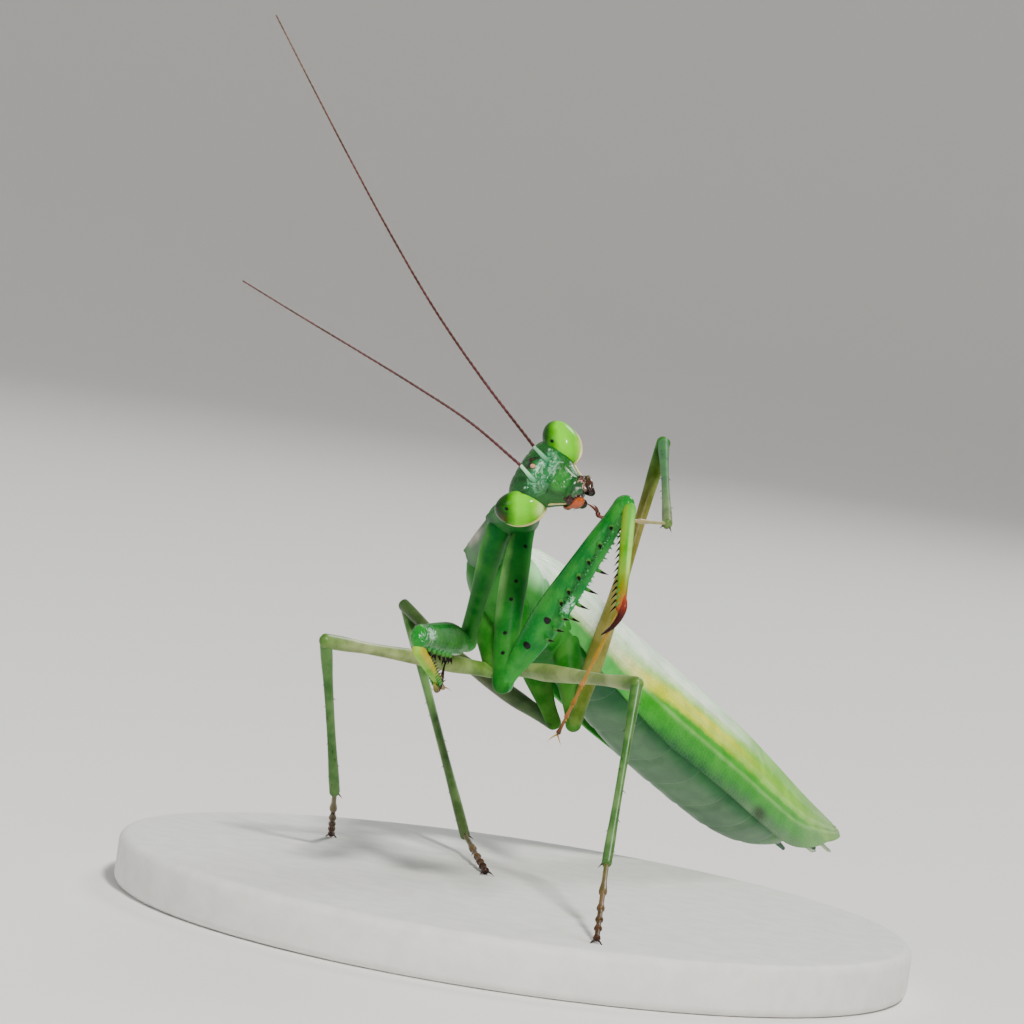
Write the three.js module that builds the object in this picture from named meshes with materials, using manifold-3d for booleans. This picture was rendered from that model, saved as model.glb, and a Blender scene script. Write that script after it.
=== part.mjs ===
// A green praying mantis, life size, grooming its raised left hind foot, on a round base.
// Millimetres and degrees. +Z is up, the mantis faces -Y and its left side is +X.
// The origin is the centre of the underside of the base.

import * as THREE from 'three';
import { mergeVertices } from 'three/addons/utils/BufferGeometryUtils.js';
import Module from 'manifold-3d';

const wasm = await Module();
wasm.setup();

// ---- driving dimensions ----

const gap = 0.3; // clearance between neighbouring pieces
const standRadius = 24;
const standThickness = 3;
const standBevel = 0.5;
const footLevel = standThickness + gap;

const bodyAngles = { heading: 0, rise: 23.4, lean: 12.5 };
const waist = new THREE.Vector3(-5.9, -0.57, 22.08); // where the prothorax meets the thorax

const prothoraxAngles = { heading: 47.4, rise: 15.9, lean: 7 };
const prothoraxLength = 14.6;

const headAngles = { heading: 11.4, rise: 23.6, lean: 75.5 };
const headCentre = new THREE.Vector3(7.0, -12.04, 28.05);
const eyeSpacing = 4.45; // between the centres of the eyes
const eyeHalf = { across: 1.06, deep: 1.12, tall: 1.56 };
const eyeTilt = 30; // the tops of the eyes lean outward
const antennaSocket = { aside: 0.7, ahead: -0.97, up: -0.35 };
const socketHalf = [0.34, 0.26, 0.34];

// Each antenna leaves its socket, passes the end of its first joint and then rises in even steps.
const antennaThickness = 0.5;
const antennae = {
  left: { scape: [0.94, -1.6, 0.48], length: 28.6, heading: -54, rise: [44, 47, 51, 53, 54, 54.5] },
  right: { scape: [-0.38, -1.6, 0.52], length: 19, heading: -52, rise: [32, 25, 23, 22.5, 23] },
};

const thoraxLength = 10.4;
const abdomenStart = thoraxLength + gap;
const abdomenLength = 27.8;
const abdomenRings = 8;
const abdomenHalf = { width: 2.65, height: 2.15 };
const cercusLength = 3.2;
const wingRoot = 1.9; // behind the waist
const tegmenLength = 41.6;
const hindwingRoot = wingRoot + 0.7;
const hindwingLength = 41.2;
const hindwingInset = 1.85; // below the arch of the tegmina
const wingThickness = 0.5;
const veinHeight = 0.14;
const footRadius = 0.25;
const sole = 0.21; // from the level of the feet up to the middle of a standing toe

// Each limb segment has a length and points along a heading, which is 0 straight ahead and
// grows to the mantis's left, and a rise above the level.
const foreLegs = {
  left: {
    root: [1, -11, -0.8],
    coxa: { length: 9.5, heading: 34.8, rise: -64.9 },
    femur: { length: 13.1, heading: 96.4, rise: 61 },
    tibia: { length: 6.8, heading: 46.8, rise: -56.1 },
    tarsus: { length: 8.3, heading: -84.7, rise: -69.5 },
  },
  right: {
    root: [-1, -11, -0.8],
    coxa: { length: 9.4, heading: -132.9, rise: -49 },
    femur: { length: 12.9, heading: 27.2, rise: 3.8 },
    tibia: { length: 6.2, heading: -154.9, rise: -26 },
    tarsus: { length: 6.2, heading: -144, rise: -9 },
  },
};

const walkingLegs = {
  mid_left: {
    root: [1.3, 2.65, -2.24],
    coxa: { length: 3.8, heading: 85.7, rise: -75.1 },
    femur: { length: 13.1, heading: 71, rise: 4.7 },
    tibia: { length: 11.3, heading: 35.4, rise: -61.4 },
    tarsus: { length: 7.5, heading: 38.1 },
  },
  mid_right: {
    root: [-1.3, 2.65, -2.24],
    coxa: { length: 3.9, heading: 149.9, rise: -71.2 },
    femur: { length: 13.2, heading: -9.8, rise: 4.4 },
    tibia: { length: 11.2, heading: -156.8, rise: -57.6 },
    tarsus: { length: 7.5, heading: -140.6 },
  },
  hind_left: {
    root: [1.6, 8.05, -2.13],
    coxa: { length: 5.4, heading: 63.9, rise: -59.8 },
    femur: { length: 18.9, heading: -167.3, rise: 68.7, bow: 0.8 },
    tibia: { length: 20.1, heading: 40.2, rise: -11.6 },
    tarsus: { length: 5.3, heading: -5.2, rise: -0.2 },
    tip: { length: 0.6, heading: -20.7, rise: 26.5 },
  },
  hind_right: {
    root: [-1.4, 8.05, -2.13],
    coxa: { length: 5.2, heading: 143.8, rise: -61.4 },
    femur: { length: 18.1, heading: -104.1, rise: 15.4, bow: 0.8 },
    tibia: { length: 19.1, heading: 64.3, rise: -41.7 },
    tarsus: { length: 8.5, heading: 50 },
  },
};

// ---- solids ----

const model = new THREE.Group();
const radians = THREE.MathUtils.degToRad;
const { clamp, lerp, smoothstep } = THREE.MathUtils;

function paint(color, roughness, metalness = 0) {
  return new THREE.MeshStandardMaterial({ color, roughness, metalness });
}

const looks = {
  green: paint('#3f9f36', 0.45),
  paleGreen: paint('#7cc46a', 0.5),
  wing: paint('#a9d9a0', 0.4),
  eye: paint('#a4d02c', 0.2),
  legGreen: paint('#6d9f5a', 0.5),
  tarsus: paint('#9a7b4b', 0.5),
  amber: paint('#a8652a', 0.45),
  antenna: paint('#6a3c34', 0.6),
  mouth: paint('#5a3a26', 0.4),
  stand: paint('#e9e9e6', 0.7),
};

function signedVolume(positions, triangles) {
  let volume = 0;
  const corner = (index) => new THREE.Vector3().fromArray(positions, 3 * index);
  for (let i = 0; i < triangles.length; i += 3) {
    const [a, b, c] = [0, 1, 2].map((k) => corner(triangles[i + k]));
    volume += a.dot(b.cross(c)) / 6;
  }
  return volume;
}

// A closed geometry as a solid: shared vertices are merged and faces are turned outward.
function solidFrom(geometry, matrix = null) {
  const bare = geometry.clone();
  bare.deleteAttribute('normal');
  bare.deleteAttribute('uv');
  if (matrix) {
    bare.applyMatrix4(matrix);
  }
  const merged = mergeVertices(bare, 1e-5);
  const positions = Float32Array.from(merged.getAttribute('position').array);
  const triangles = [];
  const index = merged.getIndex().array;
  for (let i = 0; i < index.length; i += 3) {
    const [a, b, c] = [index[i], index[i + 1], index[i + 2]];
    if (a !== b && b !== c && c !== a) {
      triangles.push(a, b, c);
    }
  }
  if (signedVolume(positions, triangles) < 0) {
    triangles.reverse();
  }
  const triVerts = Uint32Array.from(triangles);
  return new wasm.Manifold(new wasm.Mesh({ numProp: 3, vertProperties: positions, triVerts }));
}

function joined(solids) {
  return solids.reduce((whole, solid) => whole.add(solid));
}

function cut(solid, ...tools) {
  return tools.reduce((rest, tool) => rest.subtract(tool), solid);
}

// The largest closed surface of a solid, as a named mesh placed by its own frame.
function addPart(name, solid, material, frame = new THREE.Matrix4()) {
  const pieces = solid.decompose();
  const largest = pieces.reduce((best, piece) => (piece.volume() > best.volume() ? piece : best));
  const mesh = largest.getMesh();
  const geometry = new THREE.BufferGeometry();
  geometry.setAttribute('position', new THREE.BufferAttribute(mesh.vertProperties, 3));
  geometry.setIndex(new THREE.BufferAttribute(mesh.triVerts, 1));
  geometry.applyMatrix4(frame.clone().invert());
  const part = new THREE.Mesh(geometry, material);
  part.name = name;
  part.applyMatrix4(frame);
  model.add(part);
}

// ---- frames ----

function direction({ heading, rise }) {
  const level = Math.cos(radians(rise));
  const [turn, up] = [radians(heading), Math.sin(radians(rise))];
  return new THREE.Vector3(Math.sin(turn) * level, -Math.cos(turn) * level, up);
}

// A body frame: local -Y points ahead along the heading and rise, and +X is the left side.
function bodyFrame(origin, { heading, rise, lean }) {
  const turn = new THREE.Euler(radians(-rise), radians(-lean), radians(heading), 'ZXY');
  const one = new THREE.Vector3(1, 1, 1);
  return new THREE.Matrix4().compose(origin, new THREE.Quaternion().setFromEuler(turn), one);
}

// A limb frame: local +Y runs the way of the limb and +Z is on the side that `upper` names.
function limbFrame(origin, way, upper) {
  const side = new THREE.Vector3().crossVectors(way, upper).normalize();
  const top = new THREE.Vector3().crossVectors(side, way).normalize();
  return new THREE.Matrix4().makeBasis(side, way, top).setPosition(origin);
}

function inFrame(frame, [x, y, z]) {
  return new THREE.Vector3(x, y, z).applyMatrix4(frame);
}

function moved(frame, [x, y, z], tilt = [0, 0, 0]) {
  const turn = new THREE.Matrix4().makeRotationFromEuler(new THREE.Euler(...tilt.map(radians)));
  return frame.clone().multiply(turn.setPosition(x, y, z));
}

// ---- forms ----

// A closed body along +Y through rows of [place, halfWidth, halfHeight, lift].
function loft(rows, sides, margin = 0) {
  const last = rows.length - 1;
  const way = Math.sign(rows[last][0] - rows[0][0]);
  const geometry = new THREE.CylinderGeometry(1, 1, 1, sides, last);
  const position = geometry.getAttribute('position');
  for (let i = 0; i < position.count; i += 1) {
    const row = last - Math.round((position.getY(i) + 0.5) * last);
    const [place, halfWidth, halfHeight, lift = 0] = rows[row];
    const overrun = way * ((row === last ? margin : 0) - (row === 0 ? margin : 0));
    const x = position.getX(i) * (halfWidth + margin);
    const z = lift + position.getZ(i) * (halfHeight + margin);
    position.setXYZ(i, x, place + overrun, z);
  }
  return geometry;
}

// Rows of a straight limb with round ends: radii at even spaces, flattened sideways.
function limbRows(length, radii, flatness = 1) {
  const rows = [];
  const addRow = (place, radius) => rows.push([place, radius * flatness, radius]);
  const addCapRow = (end, outward, radius, angle) => {
    addRow(end + outward * radius * Math.sin(radians(angle)), radius * Math.cos(radians(angle)));
  };
  const last = radii.length - 1;
  for (const angle of [70, 35]) {
    addCapRow(0, -1, radii[0], angle);
  }
  radii.forEach((radius, i) => addRow((length * i) / last, radius));
  for (const angle of [35, 70]) {
    addCapRow(length, 1, radii[last], angle);
  }
  return rows;
}

// Bows a straight limb of the given length: its middle moves by `sag` towards +X.
function bowed(geometry, length, sag) {
  const position = geometry.getAttribute('position');
  for (let i = 0; i < position.count; i += 1) {
    const share = clamp(position.getY(i) / length, 0, 1);
    position.setX(i, position.getX(i) + sag * Math.sin(Math.PI * share));
  }
  return geometry;
}

// Lays a straight form of the given length along a curve.
function along(curve, geometry, length, upper) {
  const position = geometry.getAttribute('position');
  const point = new THREE.Vector3();
  for (let i = 0; i < position.count; i += 1) {
    const share = clamp(position.getY(i) / length, 0, 1);
    const frame = limbFrame(curve.getPointAt(share), curve.getTangentAt(share), upper);
    point.set(position.getX(i), position.getY(i) - share * length, position.getZ(i));
    point.applyMatrix4(frame);
    position.setXYZ(i, point.x, point.y, point.z);
  }
  return geometry;
}

function ball(frame, centre, half, { tilt = [0, 0, 0], margin = 0, detail }) {
  const geometry = new THREE.SphereGeometry(1, ...detail);
  geometry.rotateX(Math.PI / 2);
  geometry.scale(half[0] + margin, half[1] + margin, half[2] + margin);
  return solidFrom(geometry, moved(frame, centre, tilt));
}

// A tapering spine of five sides from `root`, pointing along `way` in the frame.
function spine(frame, root, way, length, radius = 0.24) {
  const geometry = new THREE.ConeGeometry(radius, length, 5, 1);
  geometry.translate(0, length / 2, 0);
  const turn = new THREE.Quaternion();
  turn.setFromUnitVectors(new THREE.Vector3(0, 1, 0), new THREE.Vector3(...way).normalize());
  geometry.applyQuaternion(turn);
  geometry.translate(...root);
  return solidFrom(geometry, frame);
}

// A curved sheet of even thickness, with the same triangles on both faces. `surface(u, v)`
// gives its middle, `outward` is 1 or -1 for its outer side, and `ridge(v)` raises that face.
function sheet(surface, thickness, across, lengthwise, outward, ridge) {
  const grid = new THREE.PlaneGeometry(1, 1, across, lengthwise);
  const uv = grid.getAttribute('uv');
  const count = uv.count;
  const index = Array.from(grid.getIndex().array);
  const positions = [];
  const step = 1e-3;
  for (const side of [1, -1]) {
    for (let i = 0; i < count; i += 1) {
      const [v, u] = [uv.getX(i), uv.getY(i)];
      const here = surface(u, v);
      const alongU = surface(u + step, v).sub(surface(u - step, v));
      const alongV = surface(u, v + step).sub(surface(u, v - step));
      const normal = alongV.cross(alongU).normalize();
      const offset = side * (thickness / 2) + (side > 0 ? ridge(v) : 0);
      positions.push(...here.addScaledVector(normal, outward * offset).toArray());
    }
  }
  const triangles = [...index];
  for (let i = 0; i < index.length; i += 3) {
    triangles.push(index[i] + count, index[i + 2] + count, index[i + 1] + count);
  }
  const rim = [];
  const row = across + 1;
  const end = lengthwise * row;
  for (let i = 0; i < across; i += 1) {
    rim.push([i, i + 1], [end + i + 1, end + i]);
  }
  for (let j = 0; j < end; j += row) {
    rim.push([across + j, across + j + row], [j + row, j]);
  }
  for (const [a, b] of rim) {
    triangles.push(a, b, b + count, a, b + count, a + count);
  }
  const geometry = new THREE.BufferGeometry();
  geometry.setAttribute('position', new THREE.Float32BufferAttribute(positions, 3));
  geometry.setIndex(triangles);
  return geometry;
}

// ---- base ----

function buildStand() {
  const profile = [
    [0, 0],
    [standRadius - standBevel, 0],
    [standRadius, standBevel],
    [standRadius, standThickness - standBevel],
    [standRadius - standBevel, standThickness],
    [0, standThickness],
  ].map(([x, y]) => new THREE.Vector2(x, y));
  const geometry = new THREE.LatheGeometry(profile, 36);
  geometry.rotateX(Math.PI / 2);
  addPart('stand_base', solidFrom(geometry), looks.stand);
}

// Everything below the level that the feet stand on.
function belowFeet() {
  const size = 4 * standRadius;
  const geometry = new THREE.BoxGeometry(size, size, size);
  geometry.translate(0, 0, footLevel - size / 2);
  return solidFrom(geometry);
}

// ---- head ----

const headFrame = bodyFrame(headCentre, headAngles);

// The head capsule runs from its top at the first row down to the lip.
function headCapsule(margin = 0) {
  const rows = [
    [-1.52, 1.1, 0.38, 0.25],
    [-1.36, 1.75, 0.72, 0.22],
    [-0.9, 2.15, 1.0, 0.15],
    [-0.1, 2.25, 1.12, 0.05],
    [0.7, 1.85, 1.12],
    [1.4, 1.42, 1.0],
    [2.0, 1.1, 0.86],
    [2.5, 0.85, 0.7],
    [2.8, 0.6, 0.5],
  ];
  const geometry = loft(rows, 18, margin);
  geometry.rotateX(-Math.PI / 2);
  return solidFrom(geometry, headFrame);
}

function eyeball(side, margin = 0) {
  const centre = [(side * eyeSpacing) / 2, 0.05, 0.12];
  const half = [eyeHalf.across, eyeHalf.deep, eyeHalf.tall];
  return ball(headFrame, centre, half, { tilt: [0, side * eyeTilt, 0], margin, detail: [16, 12] });
}

function socket(side, margin = 0) {
  const { aside, ahead, up } = antennaSocket;
  return ball(headFrame, [side * aside, ahead, up], socketHalf, { margin, detail: [10, 6] });
}

// The lip and the two mandibles.
function mouthParts(margin = 0) {
  const lip = { tilt: [-6, 0, 0], margin, detail: [12, 6] };
  const parts = [ball(headFrame, [0, -0.42, -2.85], [0.6, 0.4, 0.62], lip)];
  for (const side of [-1, 1]) {
    const mandible = { tilt: [0, side * -14, 0], margin, detail: [10, 6] };
    parts.push(ball(headFrame, [side * 0.6, -0.05, -2.5], [0.4, 0.5, 0.72], mandible));
  }
  return joined(parts);
}

function buildHead() {
  const face = [headCapsule(), mouthParts(), socket(1), socket(-1)];
  // The raised shield below the antennae, then the clypeus.
  face.push(ball(headFrame, [0, -0.92, -0.95], [0.95, 0.32, 0.42], { tilt: [-4, 0, 0], detail: [12, 6] }));
  face.push(ball(headFrame, [0, -0.62, -1.75], [0.92, 0.48, 0.75], { tilt: [-8, 0, 0], detail: [12, 6] }));
  const ocelli = [[0, -1.06, 0.14], [-0.34, -0.98, 0.5], [0.34, -0.98, 0.5]];
  for (const place of ocelli) {
    face.push(ball(headFrame, place, [0.17, 0.17, 0.17], { detail: [8, 5] }));
  }
  const whole = cut(joined(face), eyeball(1, gap), eyeball(-1, gap));
  addPart('head', whole, looks.green, headFrame);
  addPart('eye_left', eyeball(1), looks.eye, headFrame);
  addPart('eye_right', eyeball(-1), looks.eye, headFrame);
}

// Palps hang from the mouth on each side.
function buildPalps() {
  for (const [name, side] of [['left', 1], ['right', -1]]) {
    const path = new THREE.CatmullRomCurve3([
      new THREE.Vector3(side * 1.05, 0.35, -2.0),
      new THREE.Vector3(side * 1.22, 0.05, -2.55),
      new THREE.Vector3(side * 1.0, -0.4, -3.2),
      new THREE.Vector3(side * 0.35, -0.62, -3.62),
    ]);
    const length = path.getLength();
    const rows = limbRows(length, [0.25, 0.26, 0.25, 0.26, 0.25, 0.22, 0.14]);
    const geometry = along(path, loft(rows, 6), length, new THREE.Vector3(1, 0, 0.2));
    const palp = cut(solidFrom(geometry, headFrame), mouthParts(gap), headCapsule(gap));
    addPart(`palp_${name}`, palp, looks.mouth, headFrame);
  }
}

function buildAntennae() {
  const taper = [1.3, 1.1, 1, 1, 0.95, 0.9, 0.85, 0.8, 0.75, 0.7, 0.6, 0.45];
  const radii = taper.map((share) => (share * antennaThickness) / 2);
  const up = new THREE.Vector3(0, 0, 1);
  for (const [name, side] of [['left', 1], ['right', -1]]) {
    const { scape, length, heading, rise } = antennae[name];
    const root = [side * antennaSocket.aside, antennaSocket.ahead, antennaSocket.up];
    const points = [inFrame(headFrame, root), inFrame(headFrame, scape)];
    for (const angle of rise) {
      const step = direction({ heading, rise: angle }).multiplyScalar(length / rise.length);
      points.push(points[points.length - 1].clone().add(step));
    }
    const path = new THREE.CatmullRomCurve3(points);
    const whole = path.getLength();
    const geometry = along(path, loft(limbRows(whole, radii), 6), whole, up);
    const antenna = cut(solidFrom(geometry), socket(side, gap), headCapsule(gap));
    addPart(`antenna_${name}`, antenna, looks.antenna);
  }
}

// ---- neck and prothorax ----

const prothoraxFrame = bodyFrame(waist, prothoraxAngles);

function prothoraxForm(margin = 0) {
  const end = -prothoraxLength;
  const rows = [
    [-0.25, 0.7, 0.6],
    [-0.5, 1.15, 0.95],
    [-1.4, 1.22, 1.05],
    [-4, 1.05, 0.95],
    [-8, 1.08, 0.95],
    [-9.6, 1.3, 1.02],
    [-10.9, 1.52, 1.08],
    [-12, 1.35, 1.05],
    [-13.4, 1.12, 0.95],
    [end + 0.2, 0.95, 0.8],
    [end, 0.6, 0.5],
  ];
  return solidFrom(loft(rows, 14, margin), prothoraxFrame);
}

function buildNeckAndProthorax() {
  addPart('prothorax', prothoraxForm(), looks.green, prothoraxFrame);
  const start = inFrame(prothoraxFrame, [0, -prothoraxLength + 0.6, 0.1]);
  const end = inFrame(headFrame, [0, 0.7, 0.7]);
  const way = end.clone().sub(start);
  const frame = limbFrame(start, way.clone().normalize(), new THREE.Vector3(0, 0, 1));
  const form = solidFrom(loft(limbRows(way.length(), [0.78, 0.72, 0.74]), 12), frame);
  addPart('neck', cut(form, prothoraxForm(gap), headCapsule(gap)), looks.paleGreen, frame);
}

// ---- thorax and abdomen ----

const trunkFrame = bodyFrame(waist, bodyAngles);

function thoraxForm(margin = 0) {
  const rows = [
    [0.1, 0.9, 0.8],
    [0.5, 1.5, 1.35, -0.15],
    [1.6, 2.0, 2.0, -0.4],
    [3.4, 2.25, 1.9, -1.1],
    [5.2, 2.2, 1.65, -1.45],
    [7.2, 2.3, 1.7, -1.7],
    [9.2, 2.25, 1.75, -1.8],
    [thoraxLength, 2, 1.6, -1.9],
  ];
  return solidFrom(loft(rows, 16, margin), trunkFrame);
}

// The girth of the abdomen along its length, as a share of its greatest.
const abdomenGirth = new THREE.SplineCurve([
  new THREE.Vector2(0, 0.78),
  new THREE.Vector2(0.2, 0.92),
  new THREE.Vector2(0.5, 1),
  new THREE.Vector2(0.75, 0.98),
  new THREE.Vector2(0.9, 0.8),
  new THREE.Vector2(1, 0.45),
]);

// Each ring of the abdomen swells a little behind the groove in front of it.
function abdomenForm(margin = 0) {
  const rows = [];
  for (let ring = 0; ring < abdomenRings; ring += 1) {
    for (const [part, swell] of [[0.06, 0.94], [0.35, 1], [0.9, 1.02]]) {
      const share = (ring + part) / abdomenRings;
      const place = abdomenStart + share * abdomenLength;
      const girth = abdomenGirth.getPointAt(share).y * swell;
      const lift = -1.5 - 0.95 * smoothstep(share, 0, 0.45) + 0.4 * smoothstep(share, 0.75, 1);
      rows.push([place, abdomenHalf.width * girth, abdomenHalf.height * girth, lift]);
    }
  }
  rows.push([abdomenStart + abdomenLength, 0.6, 0.45, -1.95]);
  return solidFrom(loft(rows, 14, margin), trunkFrame);
}

function buildTrunk() {
  const thorax = cut(thoraxForm(), prothoraxForm(gap));
  addPart('thorax', thorax, looks.green, trunkFrame);
  addPart('abdomen', abdomenForm(), looks.paleGreen, trunkFrame);
  const start = abdomenStart + abdomenLength - 0.6;
  for (const [name, side] of [['left', 1], ['right', -1]]) {
    const frame = moved(trunkFrame, [side * 0.85, start, -1.85], [0, 0, side * -6]);
    const form = solidFrom(loft(limbRows(cercusLength, [0.3, 0.3, 0.28, 0.15]), 8), frame);
    addPart(`cercus_${name}`, cut(form, abdomenForm(gap)), looks.paleGreen, frame);
  }
}

// ---- wings ----

// Wings wrap the abdomen: each lies over an arch across the back, from an angle past the
// middle of the back to the leading edge on the flank. Angles start straight up, and past
// a right angle the arch hangs down and closes in a little.
const lap = gap + wingThickness + 0.1;

function archPoint(side, u, place, angle, inset, aside = 0) {
  const halfWidth = lerp(2.5, 3.4, smoothstep(u, 0, 0.25)) - 1.8 * smoothstep(u, 0.6, 1.05);
  const top = lerp(1.8, 2.1, smoothstep(u, 0, 0.2)) - 1.1 * smoothstep(u, 0.5, 1.05);
  const edge = lerp(-0.5, -2.15, smoothstep(u, 0, 0.3)) + 0.9 * smoothstep(u, 0.65, 1);
  const turn = radians(Math.min(angle, 90));
  const x = aside + Math.max(halfWidth - inset - aside, 0.5) * Math.sin(turn);
  const hang = Math.max(0, angle - 90) / 90;
  const z = edge + (top - edge - inset) * Math.cos(turn) - 6.5 * hang;
  return new THREE.Vector3(side * (x - 6 * hang * hang), place, z);
}

// How much of its spread a wing keeps: all of it for most of its length, then a round tip.
function tipRound(u) {
  const past = Math.max(0, u - 0.8) / 0.22;
  return Math.sqrt(Math.max(0, 1 - past * past));
}

// The tegmina cross over the back and the right one goes under. Their leading edge hangs lower
// on the flank behind the hind legs.
function tegmen(side, { under, hang }) {
  const surface = (u, v) => {
    const inner = -6 - 24 * smoothstep(u, 0, 0.2) * tipRound(u);
    const drop = 8 * smoothstep(u, 0, 0.25) + hang * smoothstep(u, 0.26, 0.42);
    const outer = 12 + (58 + drop) * tipRound(u);
    const angle = lerp(inner, outer, v);
    const tuck = under ? lap * (1 - smoothstep(angle, 36, 52)) : 0;
    return archPoint(side, u, wingRoot + u * tegmenLength, angle, tuck);
  };
  const firstVein = under ? 0.5 : 0.12;
  const ridge = (v) => (v > firstVein - 0.05 && Math.round(v * 10) % 2 === 1 ? veinHeight : 0);
  return solidFrom(sheet(surface, wingThickness, 10, 18, side, ridge), trunkFrame);
}

function hindwing(side) {
  const surface = (u, v) => {
    const angle = lerp(2, 12 + 48 * tipRound(u), v);
    return archPoint(side, u, hindwingRoot + u * hindwingLength, angle, hindwingInset, 0.45);
  };
  return solidFrom(sheet(surface, wingThickness, 4, 10, side, () => 0), trunkFrame);
}

function buildWings() {
  const body = thoraxForm(gap);
  addPart('tegmen_left', cut(tegmen(1, { under: false, hang: 38 }), body), looks.wing, trunkFrame);
  addPart('tegmen_right', cut(tegmen(-1, { under: true, hang: 22 }), body), looks.wing, trunkFrame);
  addPart('hindwing_left', cut(hindwing(1), body, abdomenForm(gap)), looks.wing, trunkFrame);
  addPart('hindwing_right', cut(hindwing(-1), body, abdomenForm(gap)), looks.wing, trunkFrame);
}

// ---- legs ----

// The joints of a leg from its root, with one more joint after each of the parts.
function jointsOf(leg, frame, parts) {
  const joints = [inFrame(frame, leg.root)];
  for (const part of parts) {
    const start = joints[joints.length - 1];
    joints.push(start.clone().addScaledVector(direction(leg[part]), leg[part].length));
  }
  return joints;
}

// A straight limb segment between two joints, with `upper` on its +Z side.
function segment(start, end, upper, radii, { flatness = 1, sides = 8, bow = 0 } = {}) {
  const way = end.clone().sub(start);
  const length = way.length();
  const frame = limbFrame(start, way.normalize(), upper);
  const form = (margin = 0) => {
    const geometry = loft(limbRows(length, radii, flatness), sides, margin);
    return solidFrom(bowed(geometry, length, bow), frame);
  };
  return { frame, length, form };
}

// Two rows of spines under the femur, the inner row of long and short ones by turns, and
// the long ones between the rows near the base.
function femurSpines(frame, length, inner) {
  const spines = [];
  for (let i = 0; i < 9; i += 1) {
    const tall = (i % 2 === 0 ? 1.2 : 0.85) * (1 - 0.04 * i);
    const root = [inner * 0.34, length * (0.32 + 0.053 * i), -0.5];
    spines.push(spine(frame, root, [inner * 0.35, 0.25, -1], tall));
  }
  for (let i = 0; i < 4; i += 1) {
    const root = [-inner * 0.34, length * (0.36 + 0.13 * i), -0.5];
    spines.push(spine(frame, root, [-inner * 0.4, 0.3, -1], 1.35));
  }
  for (let i = 0; i < 3; i += 1) {
    const root = [0, length * (0.26 + 0.05 * i), -0.6];
    spines.push(spine(frame, root, [0, 0.3, -1], 1.35 + 0.2 * i));
  }
  return spines;
}

function tibiaSpines(frame, length, inner) {
  const spines = [];
  for (let i = 0; i < 7; i += 1) {
    const root = [inner * 0.14, length * (0.4 + 0.08 * i), -0.18];
    spines.push(spine(frame, root, [inner * 0.2, 0.45, -1], 0.55 + 0.06 * i, 0.2));
  }
  for (let i = 0; i < 5; i += 1) {
    const root = [-inner * 0.14, length * (0.46 + 0.1 * i), -0.18];
    spines.push(spine(frame, root, [-inner * 0.45, 0.45, -1], 0.7, 0.2));
  }
  return spines;
}

// The hooked claw at the end of the tibia.
function tibiaClaw(frame, length, margin = 0) {
  const path = new THREE.CatmullRomCurve3([
    new THREE.Vector3(0, length - 0.4, 0.05),
    new THREE.Vector3(0, length + 0.4, -0.15),
    new THREE.Vector3(0, length + 0.95, -0.9),
    new THREE.Vector3(0, length + 1.1, -2.1),
  ]);
  const reach = path.getLength();
  const rows = limbRows(reach, [0.3, 0.3, 0.24, 0.16, 0.06], 0.8);
  return solidFrom(along(path, loft(rows, 6, margin), reach, new THREE.Vector3(1, 0, 0)), frame);
}

// Five joints that swell a little at their ends, and two claws. The foot runs through the
// points in order.
function tarsusForm(points, upper) {
  const path = new THREE.CatmullRomCurve3(points);
  const length = path.getLength();
  const swell = [1, 0.86, 1.06, 0.84, 1.08, 0.86, 1.1, 0.9, 1.08, 0.95];
  const radii = swell.map((share) => share * footRadius);
  const toe = points[points.length - 1];
  const frame = limbFrame(toe, path.getTangentAt(1), upper);
  const claws = [-1, 1].map((side) =>
    spine(frame, [side * 0.08, -0.1, 0], [side * 0.5, 0.8, -0.35], 0.65, 0.15));
  const form = solidFrom(along(path, loft(limbRows(length, radii), 7), length, upper));
  return { frame, solid: joined([form, ...claws]) };
}

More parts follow.
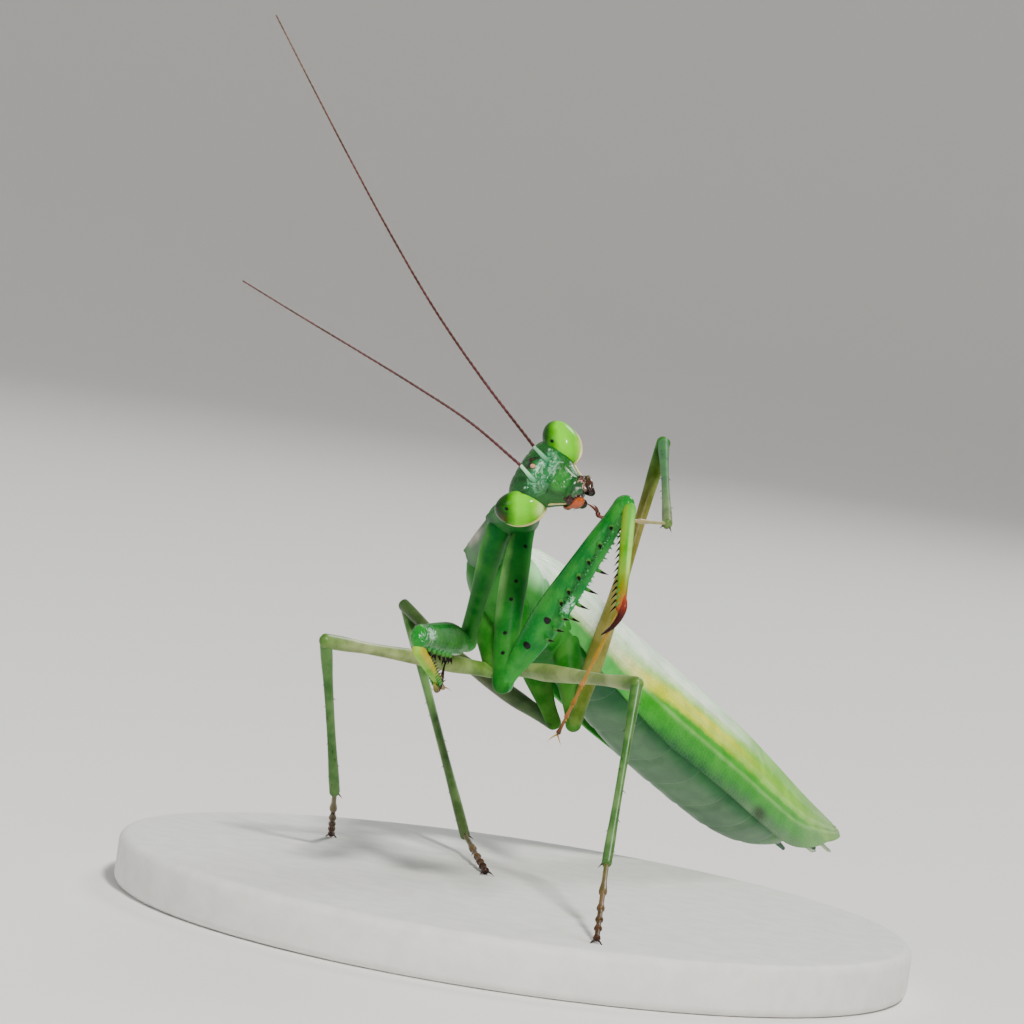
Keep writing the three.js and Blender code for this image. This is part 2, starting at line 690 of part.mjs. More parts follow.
function buildForeLeg(name, side) {
  const leg = foreLegs[name];
  const parts = ['coxa', 'femur', 'tibia', 'tarsus'];
  const [root, hip, knee, ankle, toe] = jointsOf(leg, prothoraxFrame, parts);
  const ahead = new THREE.Vector3(0, -1, 0).transformDirection(prothoraxFrame);
  const coxaRadii = [0.75, 0.98, 1.04, 0.95, 0.82, 0.72, 0.64];
  const coxa = segment(root, hip, ahead, coxaRadii, { flatness: 0.88, sides: 10 });
  addPart(`fore_coxa_${name}`, cut(coxa.form(), prothoraxForm(gap)), looks.green, coxa.frame);

  // The spiny undersides of the femur and the tibia face each other.
  const femurWay = knee.clone().sub(hip).normalize();
  const tibiaWay = ankle.clone().sub(knee).normalize();
  const underFemur = tibiaWay.clone().projectOnPlane(femurWay).normalize();
  const overFemur = underFemur.clone().negate();
  const femurRadii = [0.62, 0.9, 1.12, 1.14, 1.04, 0.92, 0.76, 0.58];
  const femur = segment(hip, knee, overFemur, femurRadii, { flatness: 0.74, sides: 10 });
  const elbow = knee.clone().addScaledVector(underFemur, 0.65).addScaledVector(tibiaWay, 0.15);
  const overTibia = femurWay.clone().projectOnPlane(tibiaWay);
  const tibiaRadii = [0.46, 0.46, 0.43, 0.4, 0.36];
  const tibia = segment(elbow, ankle, overTibia, tibiaRadii, { flatness: 0.72 });

  const spinyFemur = joined([femur.form(), ...femurSpines(femur.frame, femur.length, side)]);
  const tibiaRoom = cut(tibia.form(gap), femur.form(gap));
  const femurSolid = cut(spinyFemur, coxa.form(gap), tibiaRoom);
  addPart(`fore_femur_${name}`, femurSolid, looks.green, femur.frame);
  const spinyTibia = joined([
    tibia.form(),
    ...tibiaSpines(tibia.frame, tibia.length, -side),
    tibiaClaw(tibia.frame, tibia.length),
  ]);
  addPart(`fore_tibia_${name}`, cut(spinyTibia, femur.form(gap)), looks.paleGreen, tibia.frame);

  const heel = ankle.clone().addScaledVector(tibiaWay, 0.2);
  const tarsus = tarsusForm([heel, toe], overFemur);
  const foot = cut(tarsus.solid, tibia.form(gap), tibiaClaw(tibia.frame, tibia.length, gap));
  addPart(`fore_tarsus_${name}`, foot, looks.amber, tarsus.frame);
}

// The foot of a standing leg comes down to the base at the end of its tarsus.
function standingToe(ankle, { length, heading }) {
  const drop = ankle.z - footLevel - sole;
  const level = Math.sqrt(length * length - drop * drop);
  const toe = ankle.clone().addScaledVector(direction({ heading, rise: 0 }), level);
  return toe.setZ(ankle.z - drop);
}

// The raised foot ends in a bent tip.
function raisedFoot(ankle, { tarsus, tip }) {
  const toe = ankle.clone().addScaledVector(direction(tarsus), tarsus.length);
  return [toe, toe.clone().addScaledVector(direction(tip), tip.length)];
}

const walkingRadii = {
  mid: {
    coxa: [0.8, 0.8, 0.66, 0.48],
    femur: [0.42, 0.5, 0.46, 0.4, 0.34, 0.32, 0.4],
  },
  hind: {
    coxa: [0.85, 0.85, 0.68, 0.5],
    femur: [0.45, 0.55, 0.5, 0.42, 0.36, 0.32, 0.34, 0.4],
  },
  tibia: [0.34, 0.28, 0.26, 0.25, 0.25, 0.27, 0.3],
};

function buildWalkingLeg(name) {
  const leg = walkingLegs[name];
  const [pair, side] = name.split('_');
  const [root, hip, knee, ankle] = jointsOf(leg, trunkFrame, ['coxa', 'femur', 'tibia']);
  const radii = walkingRadii[pair];
  const outward = new THREE.Vector3(1, 0, 0).transformDirection(trunkFrame);
  const coxa = segment(root, hip, outward, radii.coxa);
  const femurWay = knee.clone().sub(hip).normalize();
  const bowWay = new THREE.Vector3(side === 'left' ? 1 : -1, -1, 0);
  const femur = segment(hip, knee, bowWay.cross(femurWay), radii.femur, { bow: leg.femur.bow });
  const tibia = segment(knee, ankle, femurWay.clone().negate(), walkingRadii.tibia);
  const toes = leg.tip ? raisedFoot(ankle, leg) : [standingToe(ankle, leg.tarsus)];
  const tarsus = tarsusForm([ankle, ...toes], new THREE.Vector3(0, 0, 1));
  const coxaSolid = cut(coxa.form(), thoraxForm(gap), abdomenForm(gap));
  addPart(`${name}_coxa`, coxaSolid, looks.green, coxa.frame);
  addPart(`${name}_femur`, cut(femur.form(), coxa.form(gap)), looks.legGreen, femur.frame);
  addPart(`${name}_tibia`, cut(tibia.form(), femur.form(gap)), looks.legGreen, tibia.frame);
  const foot = cut(tarsus.solid, tibia.form(gap), belowFeet());
  addPart(`${name}_tarsus`, foot, looks.tarsus, tarsus.frame);
}

buildStand();
buildHead();
buildPalps();
buildAntennae();
buildNeckAndProthorax();
buildTrunk();
buildWings();
buildForeLeg('left', 1);
buildForeLeg('right', -1);
for (const name of Object.keys(walkingLegs)) {
  buildWalkingLeg(name);
}

export default model;
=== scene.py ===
import bisect
import math
import random

import bmesh
import bpy
from mathutils import Matrix, Vector, noise


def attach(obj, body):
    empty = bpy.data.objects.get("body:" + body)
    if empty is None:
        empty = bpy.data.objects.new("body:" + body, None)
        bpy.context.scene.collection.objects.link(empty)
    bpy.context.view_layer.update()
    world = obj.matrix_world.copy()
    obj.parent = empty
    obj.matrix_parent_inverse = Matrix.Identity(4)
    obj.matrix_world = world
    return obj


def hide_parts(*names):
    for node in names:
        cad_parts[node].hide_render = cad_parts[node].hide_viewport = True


# A green praying mantis, life size, grooming its raised left hind foot, on a round base.
# Sizes below are in millimetres and degrees, and mm turns them into metres.

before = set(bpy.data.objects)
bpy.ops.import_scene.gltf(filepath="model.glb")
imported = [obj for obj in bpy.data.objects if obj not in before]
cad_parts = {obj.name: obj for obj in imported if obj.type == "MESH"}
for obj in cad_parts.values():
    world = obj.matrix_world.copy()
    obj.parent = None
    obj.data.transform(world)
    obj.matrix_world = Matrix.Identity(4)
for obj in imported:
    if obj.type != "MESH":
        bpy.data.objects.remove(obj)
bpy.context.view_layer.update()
mm = 0.001
seed = 11
chance = random.Random(seed)
noise.seed_set(seed)  # otherwise the clock seeds it
leftAndRight = {'left': 1, 'right': -1}
thinnest = 1e-4  # keeps a round end of no girth from dividing by nothing
weldGap = 2e-7  # in metres


def fade(value, low, high):  # 0 at low, 1 at high, with a soft start and end
    share = min(max((value - low) / (high - low), 0), 1)
    return share * share * (3 - 2 * share)


def lerp(low, high, share):
    return low + (high - low) * share


def hump(value, centre, width):
    return math.exp(-((value - centre) / width) ** 2)


def capShape(share):  # 0 at the tip of a round end, 1 where the straight part starts
    share = min(max(share, 0), 1)
    return math.sqrt(share * (2 - share))


def squareOff(value, power):  # a power below 1 makes a round section squarer
    return math.copysign(abs(value) ** power, value)


def smoothKeys(keys):  # a smooth curve through rows of (place, value, value...)
    def sample(place):
        last = len(keys) - 2
        span = 0
        while span < last and place > keys[span + 1][0]:
            span += 1
        rows = [keys[max(span - 1, 0)], keys[span], keys[span + 1], keys[min(span + 2, len(keys) - 1)]]
        width = rows[2][0] - rows[1][0]
        share = min(max((place - rows[1][0]) / width, 0), 1)
        values = []
        for column in range(1, len(keys[0])):
            before, start, end, after = (row[column] for row in rows)
            slopeIn = (end - before) / (rows[2][0] - rows[0][0]) * width
            slopeOut = (after - start) / (rows[3][0] - rows[1][0]) * width
            square, cube = share * share, share ** 3
            values.append(start * (2 * cube - 3 * square + 1) + slopeIn * (cube - 2 * square + share)
                          + end * (3 * square - 2 * cube) + slopeOut * (cube - square))
        return values
    return sample


def evenKeys(values):  # a smooth curve through values at even spaces from 0 to 1
    last = len(values) - 1
    curve = smoothKeys([(i / last, value) for i, value in enumerate(values)])
    return lambda share: curve(share)[0]


def pathThrough(points, steps=20):  # an even walk along a smooth curve through points
    curve = smoothKeys([(i, *point) for i, point in enumerate(points)])
    count = (len(points) - 1) * steps
    dots = [Vector(curve(i / steps)) for i in range(count + 1)]
    reach = [0]
    for before, after in zip(dots, dots[1:]):
        reach.append(reach[-1] + (after - before).length)

    def sample(share):
        target = min(max(share, 0), 1) * reach[-1]
        step = min(bisect.bisect_right(reach, target), count) - 1
        return dots[step].lerp(dots[step + 1], (target - reach[step]) / (reach[step + 1] - reach[step]))
    return sample, reach[-1]


def direction(heading, rise):  # heading 0 is straight ahead (-Y) and grows to the left (+X)
    turn, lift = math.radians(heading), math.radians(rise)
    return Vector((math.sin(turn) * math.cos(lift), -math.cos(turn) * math.cos(lift), math.sin(lift)))


def bodyFrame(origin, heading, rise, lean):
    turn = Matrix.Rotation(math.radians(heading), 4, 'Z') @ Matrix.Rotation(math.radians(-rise), 4, 'X')
    return Matrix.Translation(origin) @ turn @ Matrix.Rotation(math.radians(-lean), 4, 'Y')


def limbFrame(origin, way, upper):  # +Y runs along the limb and +Z is on the upper side
    side = way.cross(upper).normalized()
    top = side.cross(way).normalized()
    return Matrix.Translation(origin) @ Matrix((side, way.normalized(), top)).transposed().to_4x4()


def newShape():
    shape = bmesh.new()
    shape.verts.layers.float_vector.new('local')  # a point's place in its piece's own frame
    shape.loops.layers.uv.new('sheet')
    return shape


def addSkin(shape, surface, rows, sides, look=0, ease=0.0):
    # A grid wrapped onto surface(share, turn), which gives a point and its local place.
    local = shape.verts.layers.float_vector['local']
    made = bmesh.ops.create_grid(shape, x_segments=sides, y_segments=rows, size=0.5, calc_uvs=True)['verts']
    faces = {face for vert in made for face in vert.link_faces}
    for vert in made:
        share, turn = vert.co.y + 0.5, vert.co.x + 0.5
        share -= ease * math.sin(2 * math.pi * share) / (2 * math.pi)  # closer rows near both ends
        point, place = surface(share, turn)
        vert[local] = place
        vert.co = Vector(point) * mm
    for face in faces:
        face.material_index = look
        face.smooth = True
    bmesh.ops.remove_doubles(shape, verts=made, dist=weldGap)


def addTube(shape, path, length, girth, upper, rows=20, sides=10, look=0, flat=1.0, relief=None, ease=0.6):
    # A closed tube along a path, with round ends; relief(angle, along, radius) moves its skin out.
    step = 0.002
    startCap, endCap = max(girth(0), thinnest), max(girth(1), thinnest)

    def surface(share, turn):
        angle = 2 * math.pi * turn
        way = path(min(share + step, 1)) - path(max(share - step, 0))
        side = way.cross(upper).normalized()
        top = side.cross(way).normalized()
        along = share * length
        radius = girth(share) * capShape(along / startCap) * capShape((length - along) / endCap)
        if relief:
            radius += relief(angle, along, radius) * min(radius / max(girth(share), thinnest), 1)
        x, z = radius * flat * math.cos(angle), radius * math.sin(angle)
        return path(share) + side * x + top * z, (x, along, z)
    addSkin(shape, surface, rows, sides, look, ease)


def addRod(shape, start, end, radii, upper, rows=20, sides=10, look=0, flat=1.0, bow=None, relief=None):
    # A limb whose round ends reach past its two joints; bow is how far its middle moves, as a vector.
    way = (end - start).normalized()
    first, last = start - way * radii[0], end + way * radii[-1]

    def path(share):
        point = first.lerp(last, share)
        return point + bow * math.sin(math.pi * share) if bow else point
    girth = evenKeys([radii[0], *radii, radii[-1]])
    addTube(shape, path, (last - first).length, girth, upper, rows, sides, look, flat, relief)


def addBall(shape, place, centre, half, tilt=(0, 0, 0), look=0, detail=(24, 16)):
    # A round body in a frame, whose local place is measured in that frame.
    local = shape.verts.layers.float_vector['local']
    turn = Matrix.Translation(centre)
    for axis, angle in zip('XYZ', tilt):
        turn = turn @ Matrix.Rotation(math.radians(angle), 4, axis)
    made = bmesh.ops.create_uvsphere(shape, u_segments=detail[0], v_segments=detail[1], radius=1)['verts']
    for face in {face for vert in made for face in vert.link_faces}:
        face.material_index = look
        face.smooth = True
    for vert in made:
        spot = turn @ Vector([vert.co[i] * half[i] for i in range(3)])
        vert[local] = spot
        vert.co = (place @ spot) * mm


spike = {
    'taper': 1.3,
    'upper': (0.31, 0.2, 0.93),  # only has to lie off the line of every spine
}


def addSpike(shape, root, way, length, radius, bend=(0, 0, 0), look=0, sides=7, rows=6):
    # A tapering spine with a flat foot: local y runs from 0 at its root to 1 at its tip.
    place = limbFrame(root, way.normalized(), Vector(spike['upper']))

    def surface(share, turn):
        height = max(share * rows - 1, 0) / (rows - 1)  # the first row of faces closes the foot
        thin = radius * (1 - height ** spike['taper']) if share > 0.01 else 0
        angle = 2 * math.pi * turn
        spot = place @ Vector((thin * math.cos(angle), height * length, thin * math.sin(angle)))
        return spot + Vector(bend) * height * height, (0, height, 0)
    addSkin(shape, surface, rows, sides, look)


def placeMesh(name, shape, looks):
    mesh = bpy.data.meshes.new(name)
    shape.to_mesh(mesh)
    shape.free()
    for look in looks:
        mesh.materials.append(look)
    placed = bpy.data.objects.new(name, mesh)
    bpy.context.scene.collection.objects.link(placed)
    return placed


def makePiece(name, shape, looks, nodes=(), thickness=0.0):
    bmesh.ops.recalc_face_normals(shape, faces=shape.faces)
    piece = placeMesh(name, shape, looks)
    if thickness:
        wall = piece.modifiers.new('Wall', 'SOLIDIFY')
        wall.thickness = thickness * mm
        wall.offset = 0
    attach(piece, 'root')
    if nodes:
        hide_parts(*nodes)


def addNode(tree, kind, inputs=None, **settings):
    made = tree.nodes.new(kind)
    for key, value in settings.items():
        setattr(made, key, value)
    for key, value in (inputs or {}).items():
        socket = made.inputs[key]
        if isinstance(value, bpy.types.NodeSocket):
            tree.links.new(value, socket)
        else:
            socket.default_value = value
    return made


def newMaterial(name):
    material = bpy.data.materials.new(name)
    material.use_nodes = True
    return material, material.node_tree


def localPlace(tree):
    return addNode(tree, 'ShaderNodeAttribute', attribute_name='local').outputs['Vector']


def smoothMask(tree, value, low, high):  # 0 at low, 1 at high
    ramp = addNode(tree, 'ShaderNodeMapRange', {'Value': value, 'From Min': low, 'From Max': high},
                   interpolation_type='SMOOTHSTEP')
    return ramp.outputs['Result']


def calculate(tree, operation, first, second=0.0):
    return addNode(tree, 'ShaderNodeMath', {0: first, 1: second}, operation=operation).outputs[0]


def plus(tree, first, second):
    return calculate(tree, 'ADD', first, second)


def times(tree, first, second):
    return calculate(tree, 'MULTIPLY', first, second)


def vectorMath(tree, operation, first, second=(0, 0, 0), output='Vector'):
    return addNode(tree, 'ShaderNodeVectorMath', {0: first, 1: second}, operation=operation).outputs[output]


def noiseAt(tree, place, scale, detail, twist=0.0):
    inputs = {'Vector': place, 'Scale': scale, 'Detail': detail, 'Distortion': twist}
    return addNode(tree, 'ShaderNodeTexNoise', inputs).outputs['Fac']


def mixColour(tree, share, first, second):
    return addNode(tree, 'ShaderNodeMix', {0: share, 6: first, 7: second}, data_type='RGBA').outputs[2]


def paintOver(tree, colour, share, tint):  # lays a plain tint over a colour
    return mixColour(tree, share, colour, (*tint, 1))


def spotMask(tree, place, centre, size, soft):  # 1 inside an oval spot, falling to 0 over its soft edge
    offset = vectorMath(tree, 'SUBTRACT', place, centre)
    scaled = vectorMath(tree, 'MULTIPLY', offset, [1 / part for part in size])
    return smoothMask(tree, vectorMath(tree, 'LENGTH', scaled, output='Value'), 1.0, 1.0 - soft)


def paintSpots(tree, place, colour, spots):  # each spot is a tint, a centre, a half size and a softness
    for tint, centre, size, soft in spots:
        colour = paintOver(tree, colour, spotMask(tree, place, centre, size, soft), tint)
    return colour


def mirrored(tint, centre, size, soft):  # the same spot on both sides
    return [(tint, (side * centre[0], *centre[1:]), size, soft) for side in (1, -1)]


def oneColour(colour):
    return [(0.0, colour), (1.0, colour)]


def colourRamp(tree, value, stops):
    ramp = addNode(tree, 'ShaderNodeValToRGB', {'Fac': value})
    while len(ramp.color_ramp.elements) < len(stops):
        ramp.color_ramp.elements.new(0.5)
    for element, (place, colour) in zip(ramp.color_ramp.elements, stops):
        element.position = place
        element.color = (*colour, 1)
    return ramp.outputs['Color']


def linkBump(tree, height, strength, depth):
    bump = addNode(tree, 'ShaderNodeBump', {'Height': height, 'Strength': strength, 'Distance': depth * mm})
    tree.links.new(bump.outputs[0], tree.nodes['Principled BSDF'].inputs['Normal'])


cuticle = {
    'sockets': {
        'INPUT': {'Colour': 'Color', 'Mottle': 'Float', 'Grain': 'Float', 'Relief': 'Float', 'Gloss': 'Float'},
        'OUTPUT': {'Colour': 'Color', 'Roughness': 'Float', 'Normal': 'Vector'},
    },
    'broadScale': 700.0,  # per metre, as the grain is
    'fineScale': 5200.0,
    'lighter': {'Value': 1.35, 'Saturation': 0.9, 'Hue': 0.49},
    'darker': {'Value': 0.72, 'Saturation': 1.05, 'Hue': 0.512},
    'patchEdge': (0.35, 0.65),
    'speckEdge': (0.55, 0.75),
    'speckShare': 0.35,
    'pitEdge': (0.0, 0.45),
    'pitShare': 0.5,
    'bumpDepth': 0.03,
    'roughSpread': 0.16,
    'usual': {  # what a material has where its own look says nothing else
        'mottle': 0.6, 'grain': 4200.0, 'relief': 0.35, 'gloss': 0.3, 'shine': 0.2, 'coat': 0.08,
        'coatRough': 0.2, 'glow': 0.05, 'glowTint': (0.35, 1.0, 0.25), 'glowDepth': 0.6 * mm,
    },
}


def makeCuticleGroup():
    # Living cuticle: soft mottling of a colour, small pits, and gloss that varies over the surface.
    group = bpy.data.node_groups.new('cuticle', 'ShaderNodeTree')
    for way, sockets in cuticle['sockets'].items():
        for name, kind in sockets.items():
            group.interface.new_socket(name=name, in_out=way, socket_type=f'NodeSocket{kind}')
    given = addNode(group, 'NodeGroupInput').outputs
    place = addNode(group, 'ShaderNodeTexCoord').outputs['Object']
    broad = noiseAt(group, place, cuticle['broadScale'], 3.0)
    fine = noiseAt(group, place, cuticle['fineScale'], 2.0)
    cells = addNode(group, 'ShaderNodeTexVoronoi', {'Vector': place, 'Scale': given['Grain']}).outputs['Distance']
    lighter, darker = (
        addNode(group, 'ShaderNodeHueSaturation', {'Color': given['Colour'], **cuticle[tone]}).outputs[0]
        for tone in ('lighter', 'darker'))
    mottled = mixColour(group, smoothMask(group, broad, *cuticle['patchEdge']), darker, lighter)
    speck = times(group, smoothMask(group, fine, *cuticle['speckEdge']), cuticle['speckShare'])
    colour = mixColour(group, given['Mottle'], given['Colour'], mixColour(group, speck, mottled, lighter))
    pits = times(group, smoothMask(group, cells, *cuticle['pitEdge']), cuticle['pitShare'])
    bump = addNode(group, 'ShaderNodeBump', {'Height': plus(group, pits, fine), 'Strength': given['Relief'],
                                             'Distance': cuticle['bumpDepth'] * mm})
    rough = plus(group, given['Gloss'], times(group, broad, cuticle['roughSpread']))
    addNode(group, 'NodeGroupOutput', {'Colour': colour, 'Roughness': rough, 'Normal': bump.outputs[0]})
    return group


cuticleGroup = makeCuticleGroup()
shaderSockets = {
    'shine': 'Specular IOR Level', 'coat': 'Coat Weight', 'coatRough': 'Coat Roughness',
    'glow': 'Subsurface Weight', 'glowTint': 'Subsurface Radius', 'glowDepth': 'Subsurface Scale',
}


def setShader(shader, look):
    for key, socket in shaderSockets.items():
        shader.inputs[socket].default_value = look[key]


def finishMaterial(material, colour, look):
    look = {**cuticle['usual'], **look}
    tree = material.node_tree
    shader = tree.nodes['Principled BSDF']
    skin = addNode(tree, 'ShaderNodeGroup', {
        'Colour': colour, 'Mottle': look['mottle'], 'Grain': look['grain'], 'Relief': look['relief'],
        'Gloss': look['gloss']}, node_tree=cuticleGroup)
    for output, socket in (('Colour', 'Base Color'), ('Roughness', 'Roughness'), ('Normal', 'Normal')):
        tree.links.new(skin.outputs[output], shader.inputs[socket])
    setShader(shader, look)


paintedGlints = {'scale': 3.2, 'detail': 4.0, 'twist': 1.5, 'reach': 0.45, 'edge': (0.72, 0.94)}


def cuticleMaterial(name, look):
    # Colours run along local y, change towards the underside and on spots, and keep a mottled skin.
    material, tree = newMaterial(name)
    place = localPlace(tree)
    parts = addNode(tree, 'ShaderNodeSeparateXYZ', {0: place}).outputs
    start, end = look.get('span', (0, 1))
    along = addNode(tree, 'ShaderNodeMapRange', {'Value': parts['Y'], 'From Min': start, 'From Max': end})
    colour = colourRamp(tree, along.outputs[0], look['along'])
    if 'under' in look:
        tint, low, high = look['under']
        colour = paintOver(tree, colour, smoothMask(tree, parts['Z'], high, low), tint)
    if 'aside' in look:
        tint, low, high = look['aside']
        across = calculate(tree, 'ABSOLUTE', parts['X']) if look.get('bothSides') else parts['X']
        strip = smoothMask(tree, across, low, high)
        if 'asideEnd' in look:  # the strip fades out along local y
            strip = times(tree, strip, smoothMask(tree, parts['Y'], *look['asideEnd']))
        colour = paintOver(tree, colour, strip, tint)
    # painted highlight: a broken, crinkled patch of pale glints
    if 'paintedGlints' in look:  # a broken, crinkled pale patch
        tint, centre, size = look['paintedGlints']
        grain = noiseAt(tree, place, paintedGlints['scale'], paintedGlints['detail'], paintedGlints['twist'])
        broken = plus(tree, grain, times(tree, spotMask(tree, place, centre, size, 1.0), paintedGlints['reach']))
        colour = paintOver(tree, colour, smoothMask(tree, broken, *paintedGlints['edge']), tint)
    colour = paintSpots(tree, place, colour, look.get('spots', ()))
    finishMaterial(material, colour, look)
    return material


def plainMaterial(name, colour, gloss, coat=0.0, glow=0.0):
    return cuticleMaterial(name, {'along': oneColour(colour), 'gloss': gloss, 'coat': coat, 'glow': glow,
                                  'mottle': 0.3})


pose = {
    'waist': (-5.9, -0.57, 22.08),
    'trunk': (0, 23.4, 12.5),  # heading, rise, lean
    'prothorax': (47.4, 15.9, 7),
    'head': (11.4, 23.6, 75.5),
    'headCentre': (7.0, -12.04, 28.05),
    'prothoraxLength': 14.6,
    'footLevel': 3.0,
}
trunkFrame = bodyFrame(Vector(pose['waist']), *pose['trunk'])
prothoraxFrame = bodyFrame(Vector(pose['waist']), *pose['prothorax'])
headFrame = bodyFrame(Vector(pose['headCentre']), *pose['head'])
worldUp = Vector((0, 0, 1))

leafGreen = (0.003, 0.10, 0.008)
freshGreen = (0.006, 0.16, 0.01)
cream = (0.66, 0.58, 0.24)
black = (0.004, 0.003, 0.004)

stand = {
    'radius': 24,
    'thickness': 3,
    'edge': 0.55,
    'sides': 128,
    'look': {'along': oneColour((0.76, 0.76, 0.74)), 'mottle': 0.12, 'gloss': 0.5, 'coat': 0.0, 'glow': 0.0,
             'relief': 0.12, 'grain': 1500.0},
}


def makeStand():
    shape = newShape()
    bmesh.ops.create_circle(shape, cap_ends=True, segments=stand['sides'], radius=stand['radius'] * mm)
    base = bmesh.ops.extrude_face_region(shape, geom=shape.faces[:])['geom']
    bmesh.ops.translate(shape, verts=[item for item in base if isinstance(item, bmesh.types.BMVert)],
                        vec=(0, 0, stand['thickness'] * mm))
    bmesh.ops.recalc_face_normals(shape, faces=shape.faces)
    rims = [edge for edge in shape.edges if abs(edge.verts[0].co.z - edge.verts[1].co.z) < weldGap]
    bmesh.ops.bevel(shape, geom=rims, offset=stand['edge'] * mm, affect='EDGES', segments=4, profile=0.5,
                    material=-1)
    for face in shape.faces:
        face.smooth = abs(face.normal.z) < 0.99  # the flats stay flat
    makePiece('stand_disc', shape, [cuticleMaterial('standWhite', stand['look'])], ['stand_base'])


studio = {
    'floorRadius': 0.9,  # in metres, as the rest of the studio is
    'wallRadius': 1.5,
    'wallHeight': 1.5,
    'floorSteps': 4,
    'bendSteps': 12,
    'turnSteps': 96,
    'paper': (0.88, 0.87, 0.85, 1),
    'paperRough': 0.9,
    'air': (0.95, 0.97, 1.0, 1),
    'airStrength': 0.26,
    'aim': (0, 0, 0.02),
    'lights': [  # name, place, size, watts, colour
        ('keyLight', (0.42, -0.26, 0.55), 0.10, 6.5, (1.0, 0.97, 0.92)),
        ('fillLight', (-0.30, -0.55, 0.25), 0.3, 0.7, (0.95, 0.98, 1.0)),
        ('rimLight', (-0.10, 0.55, 0.50), 0.25, 2.2, (1.0, 1.0, 1.0)),
    ],
}


def makeFloor():
    sweep = bmesh.new()
    inner, outer = studio['floorRadius'], studio['wallRadius']
    profile = [(inner * i / studio['floorSteps'], 0) for i in range(studio['floorSteps'] + 1)]
    for i in range(1, studio['bendSteps'] + 1):
        angle = math.pi / 2 * i / studio['bendSteps']
        profile.append((inner + (outer - inner) * math.sin(angle), (outer - inner) * (1 - math.cos(angle))))
    profile.append((outer, studio['wallHeight']))
    dots = [sweep.verts.new((x, 0, z)) for x, z in profile]
    lines = [sweep.edges.new(pair) for pair in zip(dots, dots[1:])]
    bmesh.ops.spin(sweep, geom=dots + lines, axis=(0, 0, 1), cent=(0, 0, 0), angle=2 * math.pi,
                   steps=studio['turnSteps'], use_merge=True)
    bmesh.ops.remove_doubles(sweep, verts=sweep.verts, dist=1e-5)
    bmesh.ops.recalc_face_normals(sweep, faces=sweep.faces)
    bmesh.ops.reverse_faces(sweep, faces=sweep.faces)
    for face in sweep.faces:
        face.smooth = True
    paper, tree = newMaterial('floorPaper')
    shader = tree.nodes['Principled BSDF']
    shader.inputs['Base Color'].default_value = studio['paper']
    shader.inputs['Roughness'].default_value = studio['paperRough']
    placeMesh('studioFloor', sweep, [paper])


def makeLights():
    for name, place, size, watts, tint in studio['lights']:
        lamp = bpy.data.lights.new(name, 'AREA')
        lamp.shape = 'DISK'
        lamp.size = size
        lamp.energy = watts
        lamp.color = tint
        holder = bpy.data.objects.new(name, lamp)
        bpy.context.scene.collection.objects.link(holder)
        holder.location = place
        holder.rotation_euler = (Vector(studio['aim']) - Vector(place)).to_track_quat('-Z', 'Y').to_euler()
    world = bpy.data.worlds.new('studioAir')
    world.use_nodes = True
    air = world.node_tree.nodes['Background']
    air.inputs['Color'].default_value = studio['air']
    air.inputs['Strength'].default_value = studio['airStrength']
    bpy.context.scene.world = world


view = {
    'place': (170.309, -214.122, 38.122),
    'right': (0.7615, 0.6312, 0.1474),
    'away': (-0.632, 0.7735, -0.0475),
    'focus': 4576 / 1024,  # focal length as a share of the picture's width
    'sensor': 36,
    'clip': (0.01, 20),
}


def makeCamera():
    lens = bpy.data.cameras.new('camera')
    lens.sensor_width = view['sensor']
    lens.lens = view['sensor'] * view['focus']
    lens.clip_start, lens.clip_end = view['clip']
    camera = bpy.data.objects.new('camera', lens)
    bpy.context.scene.collection.objects.link(camera)
    back = -Vector(view['away']).normalized()
    right = Vector(view['right'])
    right = (right - back * right.dot(back)).normalized()
    turn = Matrix((right, back.cross(right), back)).transposed().to_4x4()
    camera.matrix_world = Matrix.Translation(Vector(view['place']) * mm) @ turn
    bpy.context.scene.camera = camera


makeStand()
makeFloor()
makeLights()
makeCamera()
print('stand, studio and camera made')


head = {
    'rows': [  # height, half width, half depth, shift back
        (-2.95, 0.05, 0.05, 0.0), (-2.88, 0.5, 0.42, 0.0), (-2.5, 0.84, 0.68, 0.0), (-2.0, 1.08, 0.84, 0.0),
        (-1.5, 1.34, 0.96, 0.0), (-0.9, 1.72, 1.08, 0.0), (-0.3, 2.08, 1.13, 0.02), (0.3, 2.22, 1.08, 0.08),
        (1.0, 2.0, 0.92, 0.15), (1.4, 1.6, 0.66, 0.22), (1.56, 1.0, 0.34, 0.25), (1.61, 0.05, 0.05, 0.25),
    ],
    'widthPower': 0.9,
    'depthPower': 0.86,
    'grid': 120,
    'shield': 0.15,  # how far each form of the face stands out, or is cut in
    'shieldGroove': 0.05,
    'clypeus': 0.2,
    'clypeusKeel': 0.05,
    'clypeusGroove': 0.07,
    'ocelliMound': 0.16,
    'socketRing': 0.13,
    'socketPit': 0.1,
    'crownGroove': 0.09,
    'cheekGroove': 0.06,
    'socketSwelling': 0.1,
    'socket': (0.7, -0.35),
    'socketRadius': 0.36,
    'ocelli': [(0.0, 0.14), (-0.34, 0.52), (0.34, 0.52)],
    'ocellusHalf': (0.14, 0.12, 0.17),
    'swellingPlace': (1.3, -0.14),
    'swellingHalf': (0.2, 0.1, 0.2),
}
headRows = smoothKeys(head['rows'])


def plate(x, z, halfWidth, low, high, soft):  # 1 inside a soft-edged plate of the face
    return fade(halfWidth - abs(x), 0, soft) * fade(z - low, 0, soft) * fade(high - z, 0, soft)


